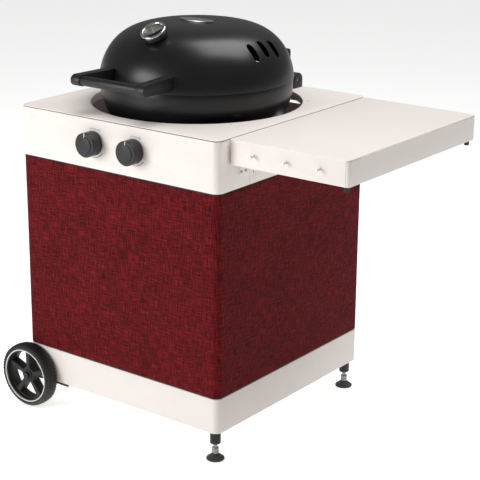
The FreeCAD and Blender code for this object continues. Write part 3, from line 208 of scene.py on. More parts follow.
lamps = [softbox("key_softbox", (-1.9, -4.0, 1.9), 2.2, 112),
         softbox("top_softbox", (0.6, 0.9, 3.9), 2.4, 100)]
print([lamp.name for lamp in lamps])

# %% [markdown]
# ## Effects that several finishes share
# Three effects come back on many surfaces. **Fine grain** gives the orange peel
# of powder paint, the texture of moulded plastic and the bloom of rubber,
# depending on its scale. **Brush lines** are the long scratches of rolled or
# brushed metal. **Outdoor dust** collects low down and in patches. Each is one
# node group with its own inputs, placed in each material with other values.

# %% Node group: fine grain
def new_group(name, inputs, outputs, kind="ShaderNodeTree"):
    """An empty node group with named inputs and outputs."""
    group = bpy.data.node_groups.new(name, kind)
    for label, socket_kind, value in inputs:
        socket = group.interface.new_socket(label, in_out="INPUT", socket_type=socket_kind)
        if value is not None:
            socket.default_value = value
    for label, socket_kind in outputs:
        group.interface.new_socket(label, in_out="OUTPUT", socket_type=socket_kind)
    source = group.nodes.new("NodeGroupInput")
    target = group.nodes.new("NodeGroupOutput")
    return group, source.outputs, target.inputs


FLOAT, VECTOR, COLOUR = "NodeSocketFloat", "NodeSocketVector", "NodeSocketColor"


def texture_outputs(group, made, given, relief, patch, wobble):
    """A texture group's three results: relief, roughness and a slow patchy value."""
    rough = maths(group, "MULTIPLY_ADD", wobble, given["Spread"], given["Roughness"])
    for name, value in (("Height", relief), ("Roughness", rough), ("Patch", patch)):
        group.links.new(value, made[name])
    print("group", group.name)


RESULTS = [("Height", FLOAT), ("Roughness", FLOAT), ("Patch", FLOAT)]
grain_group, given, made = new_group("fine_grain", [
    ("Vector", VECTOR, None), ("Scale", FLOAT, 800.0), ("Roughness", FLOAT, 0.4),
    ("Spread", FLOAT, 0.1)], RESULTS)
fine = add(grain_group, "ShaderNodeTexNoise", Vector=given["Vector"], Scale=given["Scale"],
           Detail=3.0).outputs["Fac"]
coarse = add(grain_group, "ShaderNodeTexNoise", Vector=given["Vector"], Scale=14.0,
             Detail=4.0).outputs["Fac"]
both = maths(grain_group, "ADD", maths(grain_group, "SUBTRACT", coarse, 0.5), maths(
    grain_group, "MULTIPLY", maths(grain_group, "SUBTRACT", fine, 0.5), 0.5))
texture_outputs(grain_group, made, given, fine, coarse, both)

# %% Node group: brush lines
brush_group, given, made = new_group("brush_lines", [
    ("Vector", VECTOR, None), ("Roughness", FLOAT, 0.3), ("Spread", FLOAT, 0.2)], RESULTS)
stretched = add(brush_group, "ShaderNodeMapping", Vector=given["Vector"])
stretched.inputs["Scale"].default_value = (12, 1200, 1200)
lines = add(brush_group, "ShaderNodeTexNoise", Vector=stretched.outputs["Vector"], Scale=1.0,
            Detail=3.0).outputs["Fac"]
smear = add(brush_group, "ShaderNodeTexNoise", Vector=given["Vector"], Scale=25.0,
            Detail=4.0).outputs["Fac"]
texture_outputs(brush_group, made, given, lines, smear,
                maths(brush_group, "SUBTRACT", lines, 0.5))

# %% Node group: outdoor dust
dust_group, given, made = new_group(
    "outdoor_dust",
    [("Vector", VECTOR, None), ("Colour", COLOUR, (0.5, 0.5, 0.5, 1)),
     ("Dust", COLOUR, (0.35, 0.31, 0.27, 1)), ("Amount", FLOAT, 0.1), ("Reach", FLOAT, 0.12)],
    [("Colour", COLOUR)])
height = add(dust_group, "ShaderNodeSeparateXYZ", Vector=given["Vector"]).outputs["Z"]
low = add(dust_group, "ShaderNodeMapRange", {"interpolation_type": "SMOOTHSTEP"}, Value=height,
          From_Min=0.0, From_Max=given["Reach"], To_Min=1.0, To_Max=0.15)
cloud = add(dust_group, "ShaderNodeTexNoise", Vector=given["Vector"], Scale=38.0, Detail=6.0,
            Roughness=0.65)
mask = maths(dust_group, "MULTIPLY", low.outputs["Result"],
             maths(dust_group, "MULTIPLY", cloud.outputs["Fac"], given["Amount"]))
dust_group.links.new(blend_colours(dust_group, mask, given["Colour"], given["Dust"]),
                     made["Colour"])
print("group", dust_group.name)

# %% [markdown]
# ## Finishes
# A finish is a colour, a gloss and a relief. `make_finish` joins the shared
# groups to one Principled shader: the patchy value shifts the colour a little,
# the grain moves the roughness and the bump, and the dust goes on last. What
# never changes over a surface, such as the metallic value, is set on the shader
# itself.

# %% Build a finish
finishes = {}


def make_finish(slot, colour, second, roughness, spread=0.1, scale=900.0, relief=0.00003,
                dust=0.06, lines=False, **fixed):
    """A material for one slot of the record."""
    material = bpy.data.materials.new(slot)
    material.use_nodes = True
    tree = material.node_tree
    place = add(tree, "ShaderNodeTexCoord").outputs["Object"]
    texture = add(tree, "ShaderNodeGroup", {"node_tree": brush_group if lines else grain_group},
                  Vector=place, Roughness=roughness, Spread=spread)
    if not lines:
        texture.inputs["Scale"].default_value = scale
    tint = blend_colours(tree, texture.outputs["Patch"], linear(colour), linear(second))
    dusty = add(tree, "ShaderNodeGroup", {"node_tree": dust_group}, Vector=place, Colour=tint,
                Amount=dust)
    bump = add(tree, "ShaderNodeBump", Height=texture.outputs["Height"], Strength=0.7,
               Distance=relief)
    shader = tree.nodes["Principled BSDF"]
    tree.links.new(dusty.outputs["Colour"], shader.inputs["Base Color"])
    tree.links.new(texture.outputs["Roughness"], shader.inputs["Roughness"])
    tree.links.new(bump.outputs["Normal"], shader.inputs["Normal"])
    for name, value in fixed.items():
        shader.inputs[name.replace("_", " ")].default_value = value
    finishes[slot] = material
    return material


# %% [markdown]
# ### Paints, plastics, rubbers and metals
# Powder paint is thick, warm white and slightly pebbled. The kettle's enamel is
# almost black with a soft gloss. Knobs and brackets are moulded, so they get a
# fine leather-like grain. Rubber is the dullest. Steel is brushed, chrome is
# nearly a mirror, and the cast grate is rough.

# %% The plain finishes
make_finish("white_powder_coat", "#f6efe9", "#f0e8e1", 0.42, 0.08, 1100, 0.00004, 0.05)
make_finish("black_frame", "#0e0e10", "#141416", 0.5, 0.12, 1000, 0.00004, 0.2)
make_finish("black_enamel", "#0e0e11", "#141417", 0.33, 0.08, 1500, 0.00002, 0.03,
            Coat_Weight=0.12, Coat_Roughness=0.22, Specular_IOR_Level=0.36)
make_finish("black_plastic", "#0b0b0d", "#101012", 0.46, 0.12, 1600, 0.00006, 0.08)
make_finish("dark_knob", "#101215", "#16181b", 0.42, 0.1, 1700, 0.00005, 0.03)
make_finish("white_plastic", "#f1eee8", "#e8e4dc", 0.32, 0.08, 700, 0.00002, 0.08)
make_finish("black_rubber", "#131314", "#1c1c1d", 0.68, 0.15, 700, 0.00007, 0.3)
make_finish("tyre_rubber", "#060607", "#0d0d0e", 0.6, 0.16, 600, 0.00008, 0.35)
make_finish("cast_iron_grate", "#19191a", "#2a2624", 0.62, 0.2, 420, 0.00018, 0.0, Metallic=0.3)
make_finish("dial_face", "#8f9088", "#a1a298", 0.5, 0.08, 900, 0.00002, 0.0)
make_finish("cream_enamel", "#efe4be", "#e5d8ae", 0.4, 0.08, 900, 0.00002, 0.0)
make_finish("brass", "#b98d4a", "#a27838", 0.3, 0.14, 500, 0.00003, 0.05, Metallic=1.0)
make_finish("polished_chrome", "#dcdde0", "#cfd1d4", 0.1, 0.06, 400, 0.00001, 0.02, Metallic=1.0)
make_finish("zinc_steel", "#a9abae", "#8f9396", 0.34, 0.2, 0, 0.00002, 0.12, lines=True,
            Metallic=1.0)
make_finish("stainless_steel", "#b9babb", "#a4a5a6", 0.3, 0.22, 0, 0.00002, 0.02, lines=True,
            Metallic=1.0)
make_finish("brushed_badge", "#a9abae", "#c2c4c6", 0.3, 0.25, 0, 0.00003, 0.0, lines=True,
            Metallic=1.0)
make_finish("panel_ink", "#161618", "#1f1f22", 0.6, 0.1, 900, 0.00001, 0.0)
make_finish("dark_print", "#1d1d1f", "#27272a", 0.6, 0.1, 900, 0.00001, 0.0)
print(len(finishes), "plain finishes")

# %% [markdown]
# ### Glass
# The thermometer's window is thin clear glass. Faint smears show only in its
# roughness. Transmission is set on the shader, so the glass stays glass in any
# other program.

# %% Gauge glass
glass = bpy.data.materials.new("clear_glass")
glass.use_nodes = True
tree = glass.node_tree
place = add(tree, "ShaderNodeTexCoord").outputs["Object"]
smears = add(tree, "ShaderNodeGroup", {"node_tree": grain_group}, Vector=place, Scale=220.0,
             Roughness=0.05, Spread=0.06)
bump = add(tree, "ShaderNodeBump", Height=smears.outputs["Height"], Strength=0.1,
           Distance=0.00001)
shader = tree.nodes["Principled BSDF"]
shader.inputs["Base Color"].default_value = (0.96, 0.97, 0.97, 1)
shader.inputs["Transmission Weight"].default_value = 1.0
shader.inputs["IOR"].default_value = 1.45
tree.links.new(smears.outputs["Roughness"], shader.inputs["Roughness"])
tree.links.new(bump.outputs["Normal"], shader.inputs["Normal"])
finishes["clear_glass"] = glass
print("glass ready")

# %% [markdown]
# ### The woven red cover
# The cover is an outdoor cloth in plain weave. Its yarn is uneven: some threads
# are nearly black, some are brighter red, and each keeps its shade for a few
# centimetres. The pattern reads the cloth's own UV map, laid out in metres, so
# the threads run true round the corners. One sine across each thread gives its
# rounded crown, and the sign of their product says which thread is on top.

# %% Woven cloth
THREAD = 0.0017
cloth = bpy.data.materials.new("red_textile")
cloth.use_nodes = True
tree = cloth.node_tree
flat = add(tree, "ShaderNodeSeparateXYZ", Vector=add(tree, "ShaderNodeUVMap", {
    "uv_map": "cloth_metres"}).outputs["UV"])
across, up = flat.outputs["X"], flat.outputs["Y"]
waves = [maths(tree, "SINE", maths(tree, "MULTIPLY", way, math.pi / THREAD))
         for way in (across, up)]
warp_on_top = maths(tree, "GREATER_THAN", maths(tree, "MULTIPLY", *waves), 0.0)
crowns = [maths(tree, "ABSOLUTE", wave) for wave in waves]


def slub(stretch, scale, seed):
    """Uneven yarn: noise drawn out along the threads."""
    mapping = add(tree, "ShaderNodeMapping", Vector=flat.inputs["Vector"].links[0].from_socket)
    mapping.inputs["Scale"].default_value = stretch
    mapping.inputs["Location"].default_value = (seed, seed * 1.7, 0)
    return add(tree, "ShaderNodeTexNoise", Vector=mapping.outputs["Vector"], Scale=scale,
               Detail=3.0, Roughness=0.6).outputs["Fac"]


warp_yarn = slub((330, 26, 1), 1.0, 3.1)
weft_yarn = slub((26, 330, 1), 1.0, 8.7)
yarn = add(tree, "ShaderNodeMix", {"data_type": "FLOAT"}, Factor_Float=warp_on_top,
           A_Float=weft_yarn, B_Float=warp_yarn).outputs["Result"]
crown = add(tree, "ShaderNodeMix", {"data_type": "FLOAT"}, Factor_Float=warp_on_top,
            A_Float=crowns[1], B_Float=crowns[0]).outputs["Result"]
wide = slub((9, 9, 1), 1.0, 5.5)
mixed = maths(tree, "ADD", maths(tree, "MULTIPLY", yarn, 0.55), maths(
    tree, "MULTIPLY", maths(tree, "ADD", warp_yarn, weft_yarn), 0.3))
mixed = maths(tree, "MULTIPLY_ADD", wide, 0.12, maths(tree, "SUBTRACT", mixed, 0.13))
ramp = add(tree, "ShaderNodeValToRGB", Fac=mixed)
ramp.color_ramp.elements[0].position = 0.38
ramp.color_ramp.elements[0].color = linear("#3a0b11")
ramp.color_ramp.elements[1].position = 0.66
ramp.color_ramp.elements[1].color = linear("#962329")
middle = ramp.color_ramp.elements.new(0.52)
middle.color = linear("#6a1419")
# Painted shade: the colour darkens to near-black red towards the edges of each thread, for the
# shade in the gaps between threads.
shade = maths(tree, "MULTIPLY_ADD", crown, 0.45, 0.55)
colour_with_painted_gap_shade = blend_colours(tree, shade, linear("#1c0508"), ramp.outputs["Color"])
shader = tree.nodes["Principled BSDF"]
tree.links.new(colour_with_painted_gap_shade, shader.inputs["Base Color"])
tree.links.new(maths(tree, "MULTIPLY_ADD", crown, -0.12, 0.9), shader.inputs["Roughness"])
weave_bump = add(tree, "ShaderNodeBump", Height=maths(
    tree, "MULTIPLY_ADD", yarn, 0.5, crown), Strength=0.8, Distance=0.0003)
tree.links.new(weave_bump.outputs["Normal"], shader.inputs["Normal"])
shader.inputs["Sheen Weight"].default_value = 0.03
shader.inputs["Sheen Roughness"].default_value = 0.5
shader.inputs["Specular IOR Level"].default_value = 0.08
finishes["red_textile"] = cloth
print("thread pitch", THREAD)

# %% [markdown]
# ## Turning work into plain meshes
# Modifiers and Geometry Nodes stay live while a piece is being made. At the end
# `settle` asks Blender for the evaluated result and keeps only that, as a plain
# mesh at the origin. `place_piece` then ties the piece to its moving body.

# %% Helpers that finish a piece
def new_piece(name, mesh):
    """A linked object for a mesh."""
    piece = bpy.data.objects.new(name, mesh)
    bpy.context.scene.collection.objects.link(piece)
    return piece


def settle(piece):
    """Swap an object's modifiers for their result."""
    bpy.context.view_layer.update()
    graph = bpy.context.evaluated_depsgraph_get()
    mesh = bpy.data.meshes.new_from_object(piece.evaluated_get(graph))
    name = piece.name
    collection = bpy.context.scene.collection
    collection.objects.unlink(piece)
    piece.name = name + "_source"
    return new_piece(name, mesh)


def shade(mesh, angle=32):
    """Smooth shading that keeps edges sharper than the angle crisp."""
    mesh.shade_smooth()
    mesh.set_sharp_from_angle(angle=math.radians(angle))


def paint(piece, finish):
    """Give a piece one finish and no other."""
    piece.data.materials.clear()
    piece.data.materials.append(finishes[finish])


def place_piece(piece, body, slot, *nodes, angle=32):
    """Give a piece its finish, its body and the nodes that it stands for."""
    if not piece.data.materials:
        piece.data.materials.append(finishes[slot])
    shade(piece.data, angle)
    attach(piece, body)
    if nodes:
        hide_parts(*nodes)
    return piece


# %% [markdown]
# ## Softened edges
# Sheet metal is folded and castings are moulded, so no real edge is perfectly
# sharp: it catches a thin line of light. Each hard piece is copied, its loose
# triangles are merged, flat areas are joined, and a narrow Bevel rounds every
# edge that turns by more than thirty degrees.

# %% Soften an engineering piece
def soften(node, width):
    """A copy of a node with rounded edges, which replaces it."""
    mesh = frame["nodes"][node].data.copy()
    mesh.materials.clear()
    work = bmesh.new()
    work.from_mesh(mesh)
    bmesh.ops.remove_doubles(work, verts=work.verts, dist=0.000002)
    bmesh.ops.dissolve_limit(work, angle_limit=math.radians(0.5), verts=work.verts,
                             edges=work.edges)
    work.to_mesh(mesh)
    work.free()
    piece = new_piece(node + "_finished", mesh)
    bevel = piece.modifiers.new("rounded_edges", "BEVEL")
    bevel.width = width
    bevel.segments = 2
    bevel.limit_method = "ANGLE"
    bevel.angle_limit = math.radians(32)
    bevel.use_clamp_overlap = True
    piece = settle(piece)
    return place_piece(piece, body_of_node[node], slot_of_node[node], node)


# The plate seal and the textile rails are black strips set back in the gaps under the top plate
# and at the cloth's upper and lower edges. Their black is painted shade, standing for the shadow
# in those gaps.
EDGE = {
    0.0007: ("plinth", "control_panel", "housing_sides", "housing_rear", "top_plate",
             "shelf_tray", "shelf_end_apron", "bottle_platform", "drip_tray", "kettle_bowl",
             "flame_deflector", "axle_brackets", "shelf_hinge_brackets", "textile_rails",
             "plate_seal", "gauge_bezel", "gauge_probe", "wheel_trim_front",
             "wheel_trim_rear", "knob_stem_left", "knob_stem_right"),
    0.0012: ("cabinet_frame", "lid_hinge_blocks", "lid_hinge_arms", "lid_hinge_pin",
             "gas_valves", "burner_large", "burner_small", "gas_manifold_pipe", "gas_inlet",
             "knob_left", "knob_right", "knob_bezels", "wheel_rim_front", "wheel_rim_rear",
             "wheel_axle", "foot_pad_front", "foot_pad_rear", "foot_sleeves", "shelf_frame",
             "shelf_hinge_fasteners", "utensil_hooks", "shelf_buffers", "gauge_foot",
             "lid_badge", "ignition_harness", "cooking_grate", "foot_screw_front",
             "foot_screw_rear"),
    0.0004: ("gauge_dial", "gauge_glass", "gauge_needle", "knob_pointer_left",
             "knob_pointer_right"),
    0.0035: ("handle_brackets", "handle_grip"),
}
softened = {node: soften(node, width) for width, nodes in EDGE.items() for node in nodes}
print(len(softened), "pieces softened,", sum(len(piece.data.polygons)
                                             for piece in softened.values()), "faces")

# %% [markdown]
# ## The domed lid
# The lid is pressed from one sheet, and its section follows a rule: a curve
# between an ellipse and a box, steep at the edge and nearly flat on top. That
# makes it a good piece for Geometry Nodes. A grid is wrapped round the axis:
# one way counts the angle, the other runs up the outside, from the pole to the
# rim, and back up the inside. Three capsule-shaped slots are then cut through.

# %% Geometry Nodes: the lid
GEOMETRY, INTEGER, MATERIAL = "NodeSocketGeometry", "NodeSocketInt", "NodeSocketMaterial"
OBJECT = "NodeSocketObject"


def new_nodes(name, inputs):
    """An empty geometry tree. It takes and gives geometry."""
    return new_group(name, [("Geometry", GEOMETRY, None)] + inputs, [("Geometry", GEOMETRY)],
                     "GeometryNodeTree")


def finish_tree(tree, geometry, material, target):
    """Every tree ends in real geometry with a material."""
    real = add(tree, "GeometryNodeRealizeInstances", Geometry=geometry)
    painted = add(tree, "GeometryNodeSetMaterial", Geometry=real.outputs["Geometry"],
                  Material=material)
    tree.links.new(painted.outputs["Geometry"], target["Geometry"])


def run_tree(name, tree, mesh, **values):
    """Put a tree on a mesh or curve, set its inputs and keep the plain mesh."""
    source = new_piece(name, mesh)
    modifier = source.modifiers.new(tree.name, "NODES")
    modifier.node_group = tree
    for socket in tree.interface.items_tree:
        label = socket.name.replace(" ", "_")
        if socket.in_out == "INPUT" and label in values:
            modifier[socket.identifier] = values[label]
    return settle(source)


lid_tree, given, made = new_nodes("lid_dome", [
    ("Radius", FLOAT, 0.284), ("Height", FLOAT, 0.160), ("Shoulder", FLOAT, 4.0),
    ("Crown", FLOAT, 1.72), ("Wall", FLOAT, 0.002), ("Slot Length", FLOAT, 0.040),
    ("Slot Width", FLOAT, 0.022), ("Slot Reach", FLOAT, 0.237), ("Slot Pitch", FLOAT, 0.047),
    ("Material", MATERIAL, None)])
ROUND, UP = 193, 97
grid = add(lid_tree, "GeometryNodeMeshGrid", Size_X=1.0, Size_Y=1.0, Vertices_X=ROUND,
           Vertices_Y=UP)
where = add(lid_tree, "ShaderNodeSeparateXYZ",
            Vector=add(lid_tree, "GeometryNodeInputPosition").outputs["Position"])
angle = maths(lid_tree, "MULTIPLY", maths(lid_tree, "ADD", where.outputs["X"], 0.5), math.tau)
along = maths(lid_tree, "MULTIPLY", maths(lid_tree, "ADD", where.outputs["Y"], 0.5), 2.0)
inside = maths(lid_tree, "GREATER_THAN", along, 1.0001)
turn = maths(lid_tree, "MULTIPLY", maths(lid_tree, "PINGPONG", along, 1.0), math.pi / 2)
wall = maths(lid_tree, "MULTIPLY", inside, given["Wall"])
reach = maths(lid_tree, "MULTIPLY", maths(lid_tree, "SUBTRACT", given["Radius"], wall), maths(
    lid_tree, "POWER", maths(lid_tree, "MAXIMUM", maths(lid_tree, "SINE", turn), 0.0),
    maths(lid_tree, "DIVIDE", 2.0, given["Shoulder"])))
rise = maths(lid_tree, "MULTIPLY", maths(lid_tree, "SUBTRACT", given["Height"], wall), maths(
    lid_tree, "POWER", maths(lid_tree, "MAXIMUM", maths(lid_tree, "COSINE", turn), 0.0),
    maths(lid_tree, "DIVIDE", 2.0, given["Crown"])))
on_dome = add(lid_tree, "ShaderNodeCombineXYZ",
              X=maths(lid_tree, "MULTIPLY", reach, maths(lid_tree, "COSINE", angle)),
              Y=maths(lid_tree, "MULTIPLY", reach, maths(lid_tree, "SINE", angle)), Z=rise)
wrapped = add(lid_tree, "GeometryNodeSetPosition", Geometry=grid.outputs["Mesh"],
              Position=on_dome.outputs["Vector"])
closed = add(lid_tree, "GeometryNodeMergeByDistance", Geometry=wrapped.outputs["Geometry"],
             Distance=0.00002)
half_width = maths(lid_tree, "MULTIPLY", given["Slot Width"], 0.5)
end = add(lid_tree, "GeometryNodeMeshCylinder", Vertices=24, Radius=half_width, Depth=0.3)
ends = add(lid_tree, "GeometryNodeJoinGeometry")
shift = maths(lid_tree, "SUBTRACT", maths(lid_tree, "MULTIPLY", given["Slot Length"], 0.5),
              half_width)
for sign in (-1.0, 1.0):
    moved = add(lid_tree, "GeometryNodeTransform", Geometry=end.outputs["Mesh"],
                Translation=add(lid_tree, "ShaderNodeCombineXYZ",
                                X=maths(lid_tree, "MULTIPLY", shift, sign)).outputs["Vector"])
    lid_tree.links.new(moved.outputs["Geometry"], ends.inputs["Geometry"])
capsule = add(lid_tree, "GeometryNodeConvexHull", Geometry=ends.outputs["Geometry"])
row = add(lid_tree, "GeometryNodeMeshLine", Count=3,
          Start_Location=add(lid_tree, "ShaderNodeCombineXYZ", X=given["Slot Reach"],
                             Y=maths(lid_tree, "MULTIPLY", given["Slot Pitch"], -1.0),
                             Z=0.17).outputs["Vector"],
          Offset=add(lid_tree, "ShaderNodeCombineXYZ", Y=given["Slot Pitch"]).outputs["Vector"])
cutters = add(lid_tree, "GeometryNodeInstanceOnPoints", Points=row.outputs["Mesh"],
              Instance=capsule.outputs["Convex Hull"])
solid_cutters = add(lid_tree, "GeometryNodeRealizeInstances",
                    Geometry=cutters.outputs["Instances"])
cut = add(lid_tree, "GeometryNodeMeshBoolean",
          {"operation": "DIFFERENCE", "solver": "EXACT"},
          Mesh_1=closed.outputs["Geometry"])
lid_tree.links.new(solid_cutters.outputs["Geometry"], cut.inputs["Mesh 2"])
finish_tree(lid_tree, cut.outputs["Mesh"], given["Material"], made)


def closed_mesh(name, work):
    """The finished mesh of a bmesh, with its faces pointing out."""
    mesh = bpy.data.meshes.new(name)
    work.to_mesh(mesh)
    work.free()
    face_outwards(mesh)
    return mesh


def face_outwards(mesh):
    """Make a closed mesh's faces agree and point out."""
    work = bmesh.new()
    work.from_mesh(mesh)
    bmesh.ops.recalc_face_normals(work, faces=work.faces)
    if work.calc_volume(signed=True) < 0:
        bmesh.ops.reverse_faces(work, faces=work.faces)
    work.to_mesh(mesh)
    work.free()


lid_low, lid_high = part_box("lid_shell")
kettle = Vector(((lid_low.x + lid_high.x) / 2, (lid_low.y + lid_high.y) / 2, lid_low.z))
lid = run_tree("lid_pressing", lid_tree, bpy.data.meshes.new("lid"),
               Radius=(lid_high.x - lid_low.x) / 2, Height=lid_high.z - lid_low.z,
               Material=finishes["black_enamel"])
lid.data.transform(Matrix.Translation(kettle))
face_outwards(lid.data)
place_piece(lid, "lid", "black_enamel", "lid_shell", angle=40)
# a closed shell with n openings right through it has V - E + F = 2 - 2n
euler = len(lid.data.vertices) - len(lid.data.edges) + len(lid.data.polygons)
print("lid faces", len(lid.data.polygons), "slots cut through", (2 - euler) // 2)

# %% [markdown]
# ## The stretched cover
# The red cloth is pulled round three sides of the cabinet and clipped behind it.
# It isn't perfectly flat: tension leaves shallow waves between the rails, and
# the hems at the top and bottom are double. The cover is a strip that follows
# the cabinet's rounded plan. Its UV map holds the distance along the strip and
# the height, in metres, for the weave.

# %% The cloth strip
cover_low, cover_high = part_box("textile_cover")
CORNER = 0.022
CLOTH_WALL = 0.0024
HEM = 0.014
COLUMN_WIDTH, ROW_COUNT = 0.009, 60
SLACK = 0.00028
# the strip's centre line runs half a cloth inside the cover's outer face
inset = CLOTH_WALL / 2 + 0.0003
x0, x1 = cover_low.x + inset, cover_high.x - inset
y0, y1 = cover_low.y + inset, cover_high.y - inset
bend = CORNER - inset
WRAP = 0.062
path = [Vector((x0 + WRAP, y1))]
for centre, first in (((x0 + bend, y1 - bend), 90), ((x0 + bend, y0 + bend), 180),
                      ((x1 - bend, y0 + bend), 270), ((x1 - bend, y1 - bend), 0)):
    for step in range(9):
        turn = math.radians(first + 90 * step / 8)
        path.append(Vector((centre[0] + bend * math.cos(turn),
                            centre[1] + bend * math.sin(turn))))
path.append(Vector((x1 - WRAP, y1)))


def spread_points(points, spacing):
    """Points along a line, no further apart than the spacing."""
    result = [points[0]]
    for start, stop in zip(points, points[1:]):
        count = max(1, math.ceil((stop - start).length / spacing))
        result += [start.lerp(stop, n / count) for n in range(1, count + 1)]
    return result


path = spread_points(path, COLUMN_WIDTH)
lengths = [0.0]
for start, stop in zip(path, path[1:]):
    lengths.append(lengths[-1] + (stop - start).length)
normals = []
for index in range(len(path)):
    way = path[min(index + 1, len(path) - 1)] - path[max(index - 1, 0)]
    normals.append(Vector((way.y, -way.x)).normalized() * -1)
cloth_bottom, cloth_top = cover_low.z + 0.0002, cover_high.z - 0.0002
rows = [cloth_bottom + (cloth_top - cloth_bottom) * n / ROW_COUNT
        for n in range(ROW_COUNT + 1)]


def slack(distance, height):
    """How far the cloth lies inside its flat place, in metres."""
    share = (height - cloth_bottom) / (cloth_top - cloth_bottom)
    free = math.sin(math.pi * share) ** 0.7 if 0 < share < 1 else 0.0
    wave = math.sin(distance * 21) * 0.5 + math.sin(distance * 47 + 1.3) * 0.3
    wave += math.sin(distance * 9 + height * 13) * 0.6
    return free * SLACK * (1.4 + wave)


work = bmesh.new()
uv = work.loops.layers.uv.new("cloth_metres")
strip = []
for index, point in enumerate(path):
    column = []
    for height in rows:
        inward = normals[index] * slack(lengths[index], height)
        column.append(work.verts.new((point.x + inward.x, point.y + inward.y, height)))
    strip.append(column)
for index in range(len(path) - 1):
    for level in range(len(rows) - 1):
        face = work.faces.new((strip[index][level], strip[index + 1][level],
                               strip[index + 1][level + 1], strip[index][level + 1]))
        marks = ((index, level), (index + 1, level), (index + 1, level + 1), (index, level + 1))
        for loop, (place, mark) in zip(face.loops, marks):
            loop[uv].uv = (lengths[place], rows[mark])
cover_mesh = bpy.data.meshes.new("cover_cloth")
work.to_mesh(cover_mesh)
work.free()
cover = new_piece("cover_cloth", cover_mesh)
thick = cover.modifiers.new("cloth_thickness", "SOLIDIFY")
thick.thickness = CLOTH_WALL
thick.offset = 0.0
fold = cover.modifiers.new("soft_hem_edges", "BEVEL")
fold.width = 0.0009
fold.segments = 2
fold.angle_limit = math.radians(60)
cover = settle(cover)
face_outwards(cover.data)
place_piece(cover, "cabinet", "red_textile", "textile_cover", angle=60)
print("cloth", round(lengths[-1], 3), "m long,", round(cloth_top - cloth_bottom, 3), "m high")

# %% [markdown]
# ## Stitches follow a path
# Each hem is held by a row of short stitches. A tree resamples a curve at the
# stitch spacing, stands a small thread loop on each point and turns it along
# the curve. The same tree serves the top hem and the bottom hem.

# %% Geometry Nodes: items along a curve
path_tree, given, made = new_nodes("items_along_path", [
    ("Item", OBJECT, None), ("Spacing", FLOAT, 0.005), ("Material", MATERIAL, None)])
spaced = add(path_tree, "GeometryNodeResampleCurve", {"mode": "LENGTH"},
             Curve=given["Geometry"], Length=given["Spacing"])
item = add(path_tree, "GeometryNodeObjectInfo", Object=given["Item"])
tangent = add(path_tree, "GeometryNodeInputTangent")
heading = add(path_tree, "FunctionNodeAlignRotationToVector", {"axis": "X", "pivot_axis": "Z"},
              Vector=tangent.outputs["Tangent"])
placed = add(path_tree, "GeometryNodeInstanceOnPoints", Points=spaced.outputs["Curve"],
             Instance=item.outputs["Geometry"], Rotation=heading.outputs["Rotation"])
finish_tree(path_tree, placed.outputs["Instances"], given["Material"], made)


def line_curve(name, points):
    """A straight-sided curve through points."""
    curve = bpy.data.curves.new(name, "CURVE")
    curve.dimensions = "3D"
    spline = curve.splines.new("POLY")
    spline.points.add(len(points) - 1)
    for place, point in zip(spline.points, points):
        place.co = (*point, 1)
    return curve


STITCH_LENGTH, STITCH_THREAD, STITCH_BOW, STITCH_SPACING = 0.0034, 0.00035, 0.0003, 0.0055


def stitch_mesh():
    """One flat thread stitch, arched along X."""
    work = bmesh.new()
    rings = []
    for n in range(5):
        share = n / 4
        bow = math.sin(math.pi * share) * STITCH_BOW
        size = STITCH_THREAD * (0.6 + 0.4 * math.sin(math.pi * share))
        rings.append([work.verts.new(((share - 0.5) * STITCH_LENGTH,
                                      bow * -1 + size * math.cos(turn) * 0.6,
                                      size * math.sin(turn)))
                      for turn in (0.8, 2.35, 3.9, 5.5)])
    for first, second in zip(rings, rings[1:]):
        for n in range(4):
            work.faces.new((first[n], first[n - 1], second[n - 1], second[n]))
    work.faces.new(rings[0])
    work.faces.new(reversed(rings[-1]))
    return closed_mesh("stitch", work)


make_finish("hem_thread", "#5d1620", "#7a2430", 0.8, 0.1, 2500, 0.00005, 0.05)
stitch = new_piece("stitch_item", stitch_mesh())
for hem, height in (("hem_stitches_top", cloth_top - HEM),
                    ("hem_stitches_bottom", cloth_bottom + HEM)):
    outside = [(point.x - normal.x * (CLOTH_WALL / 2 - 0.0001),
                point.y - normal.y * (CLOTH_WALL / 2 - 0.0001), height)
               for point, normal in zip(path, normals)]
    row = run_tree(hem, path_tree, line_curve(hem, outside), Item=stitch, Spacing=STITCH_SPACING,
                   Material=finishes["hem_thread"])
    place_piece(row, "cabinet", "red_textile")
    print(hem, len(row.data.polygons), "faces")
bpy.data.objects.remove(stitch)

# %% [markdown]
# ## Details that go round in a circle
# Dial marks, flame ports, tyre blocks and the notches of a coined bezel all
# repeat round an axis. One tree does them all: it puts a number of points on an
# arc, turns each one to face outwards and stands the item there.

# %% Geometry Nodes: items round a circle
ring_tree, given, made = new_nodes("items_round_circle", [
    ("Count", INTEGER, 12), ("Radius", FLOAT, 0.1), ("Start", FLOAT, 0.0),
    ("Sweep", FLOAT, math.tau), ("Material", MATERIAL, None)])
count_points = add(ring_tree, "GeometryNodePoints", Count=given["Count"])
index = add(ring_tree, "GeometryNodeInputIndex").outputs["Index"]
step = maths(ring_tree, "DIVIDE", given["Sweep"], given["Count"])
angle = maths(ring_tree, "MULTIPLY_ADD", index, step, given["Start"])
spot = add(ring_tree, "ShaderNodeCombineXYZ",
           X=maths(ring_tree, "MULTIPLY", given["Radius"], maths(ring_tree, "COSINE", angle)),
           Y=maths(ring_tree, "MULTIPLY", given["Radius"], maths(ring_tree, "SINE", angle)))
moved = add(ring_tree, "GeometryNodeSetPosition", Geometry=count_points.outputs["Points"],
            Position=spot.outputs["Vector"])
facing = add(ring_tree, "FunctionNodeAxisAngleToRotation", Axis=(0, 0, 1), Angle=angle)
placed = add(ring_tree, "GeometryNodeInstanceOnPoints", Points=moved.outputs["Geometry"],
             Instance=given["Geometry"], Rotation=facing.outputs["Rotation"])
finish_tree(ring_tree, placed.outputs["Instances"], given["Material"], made)


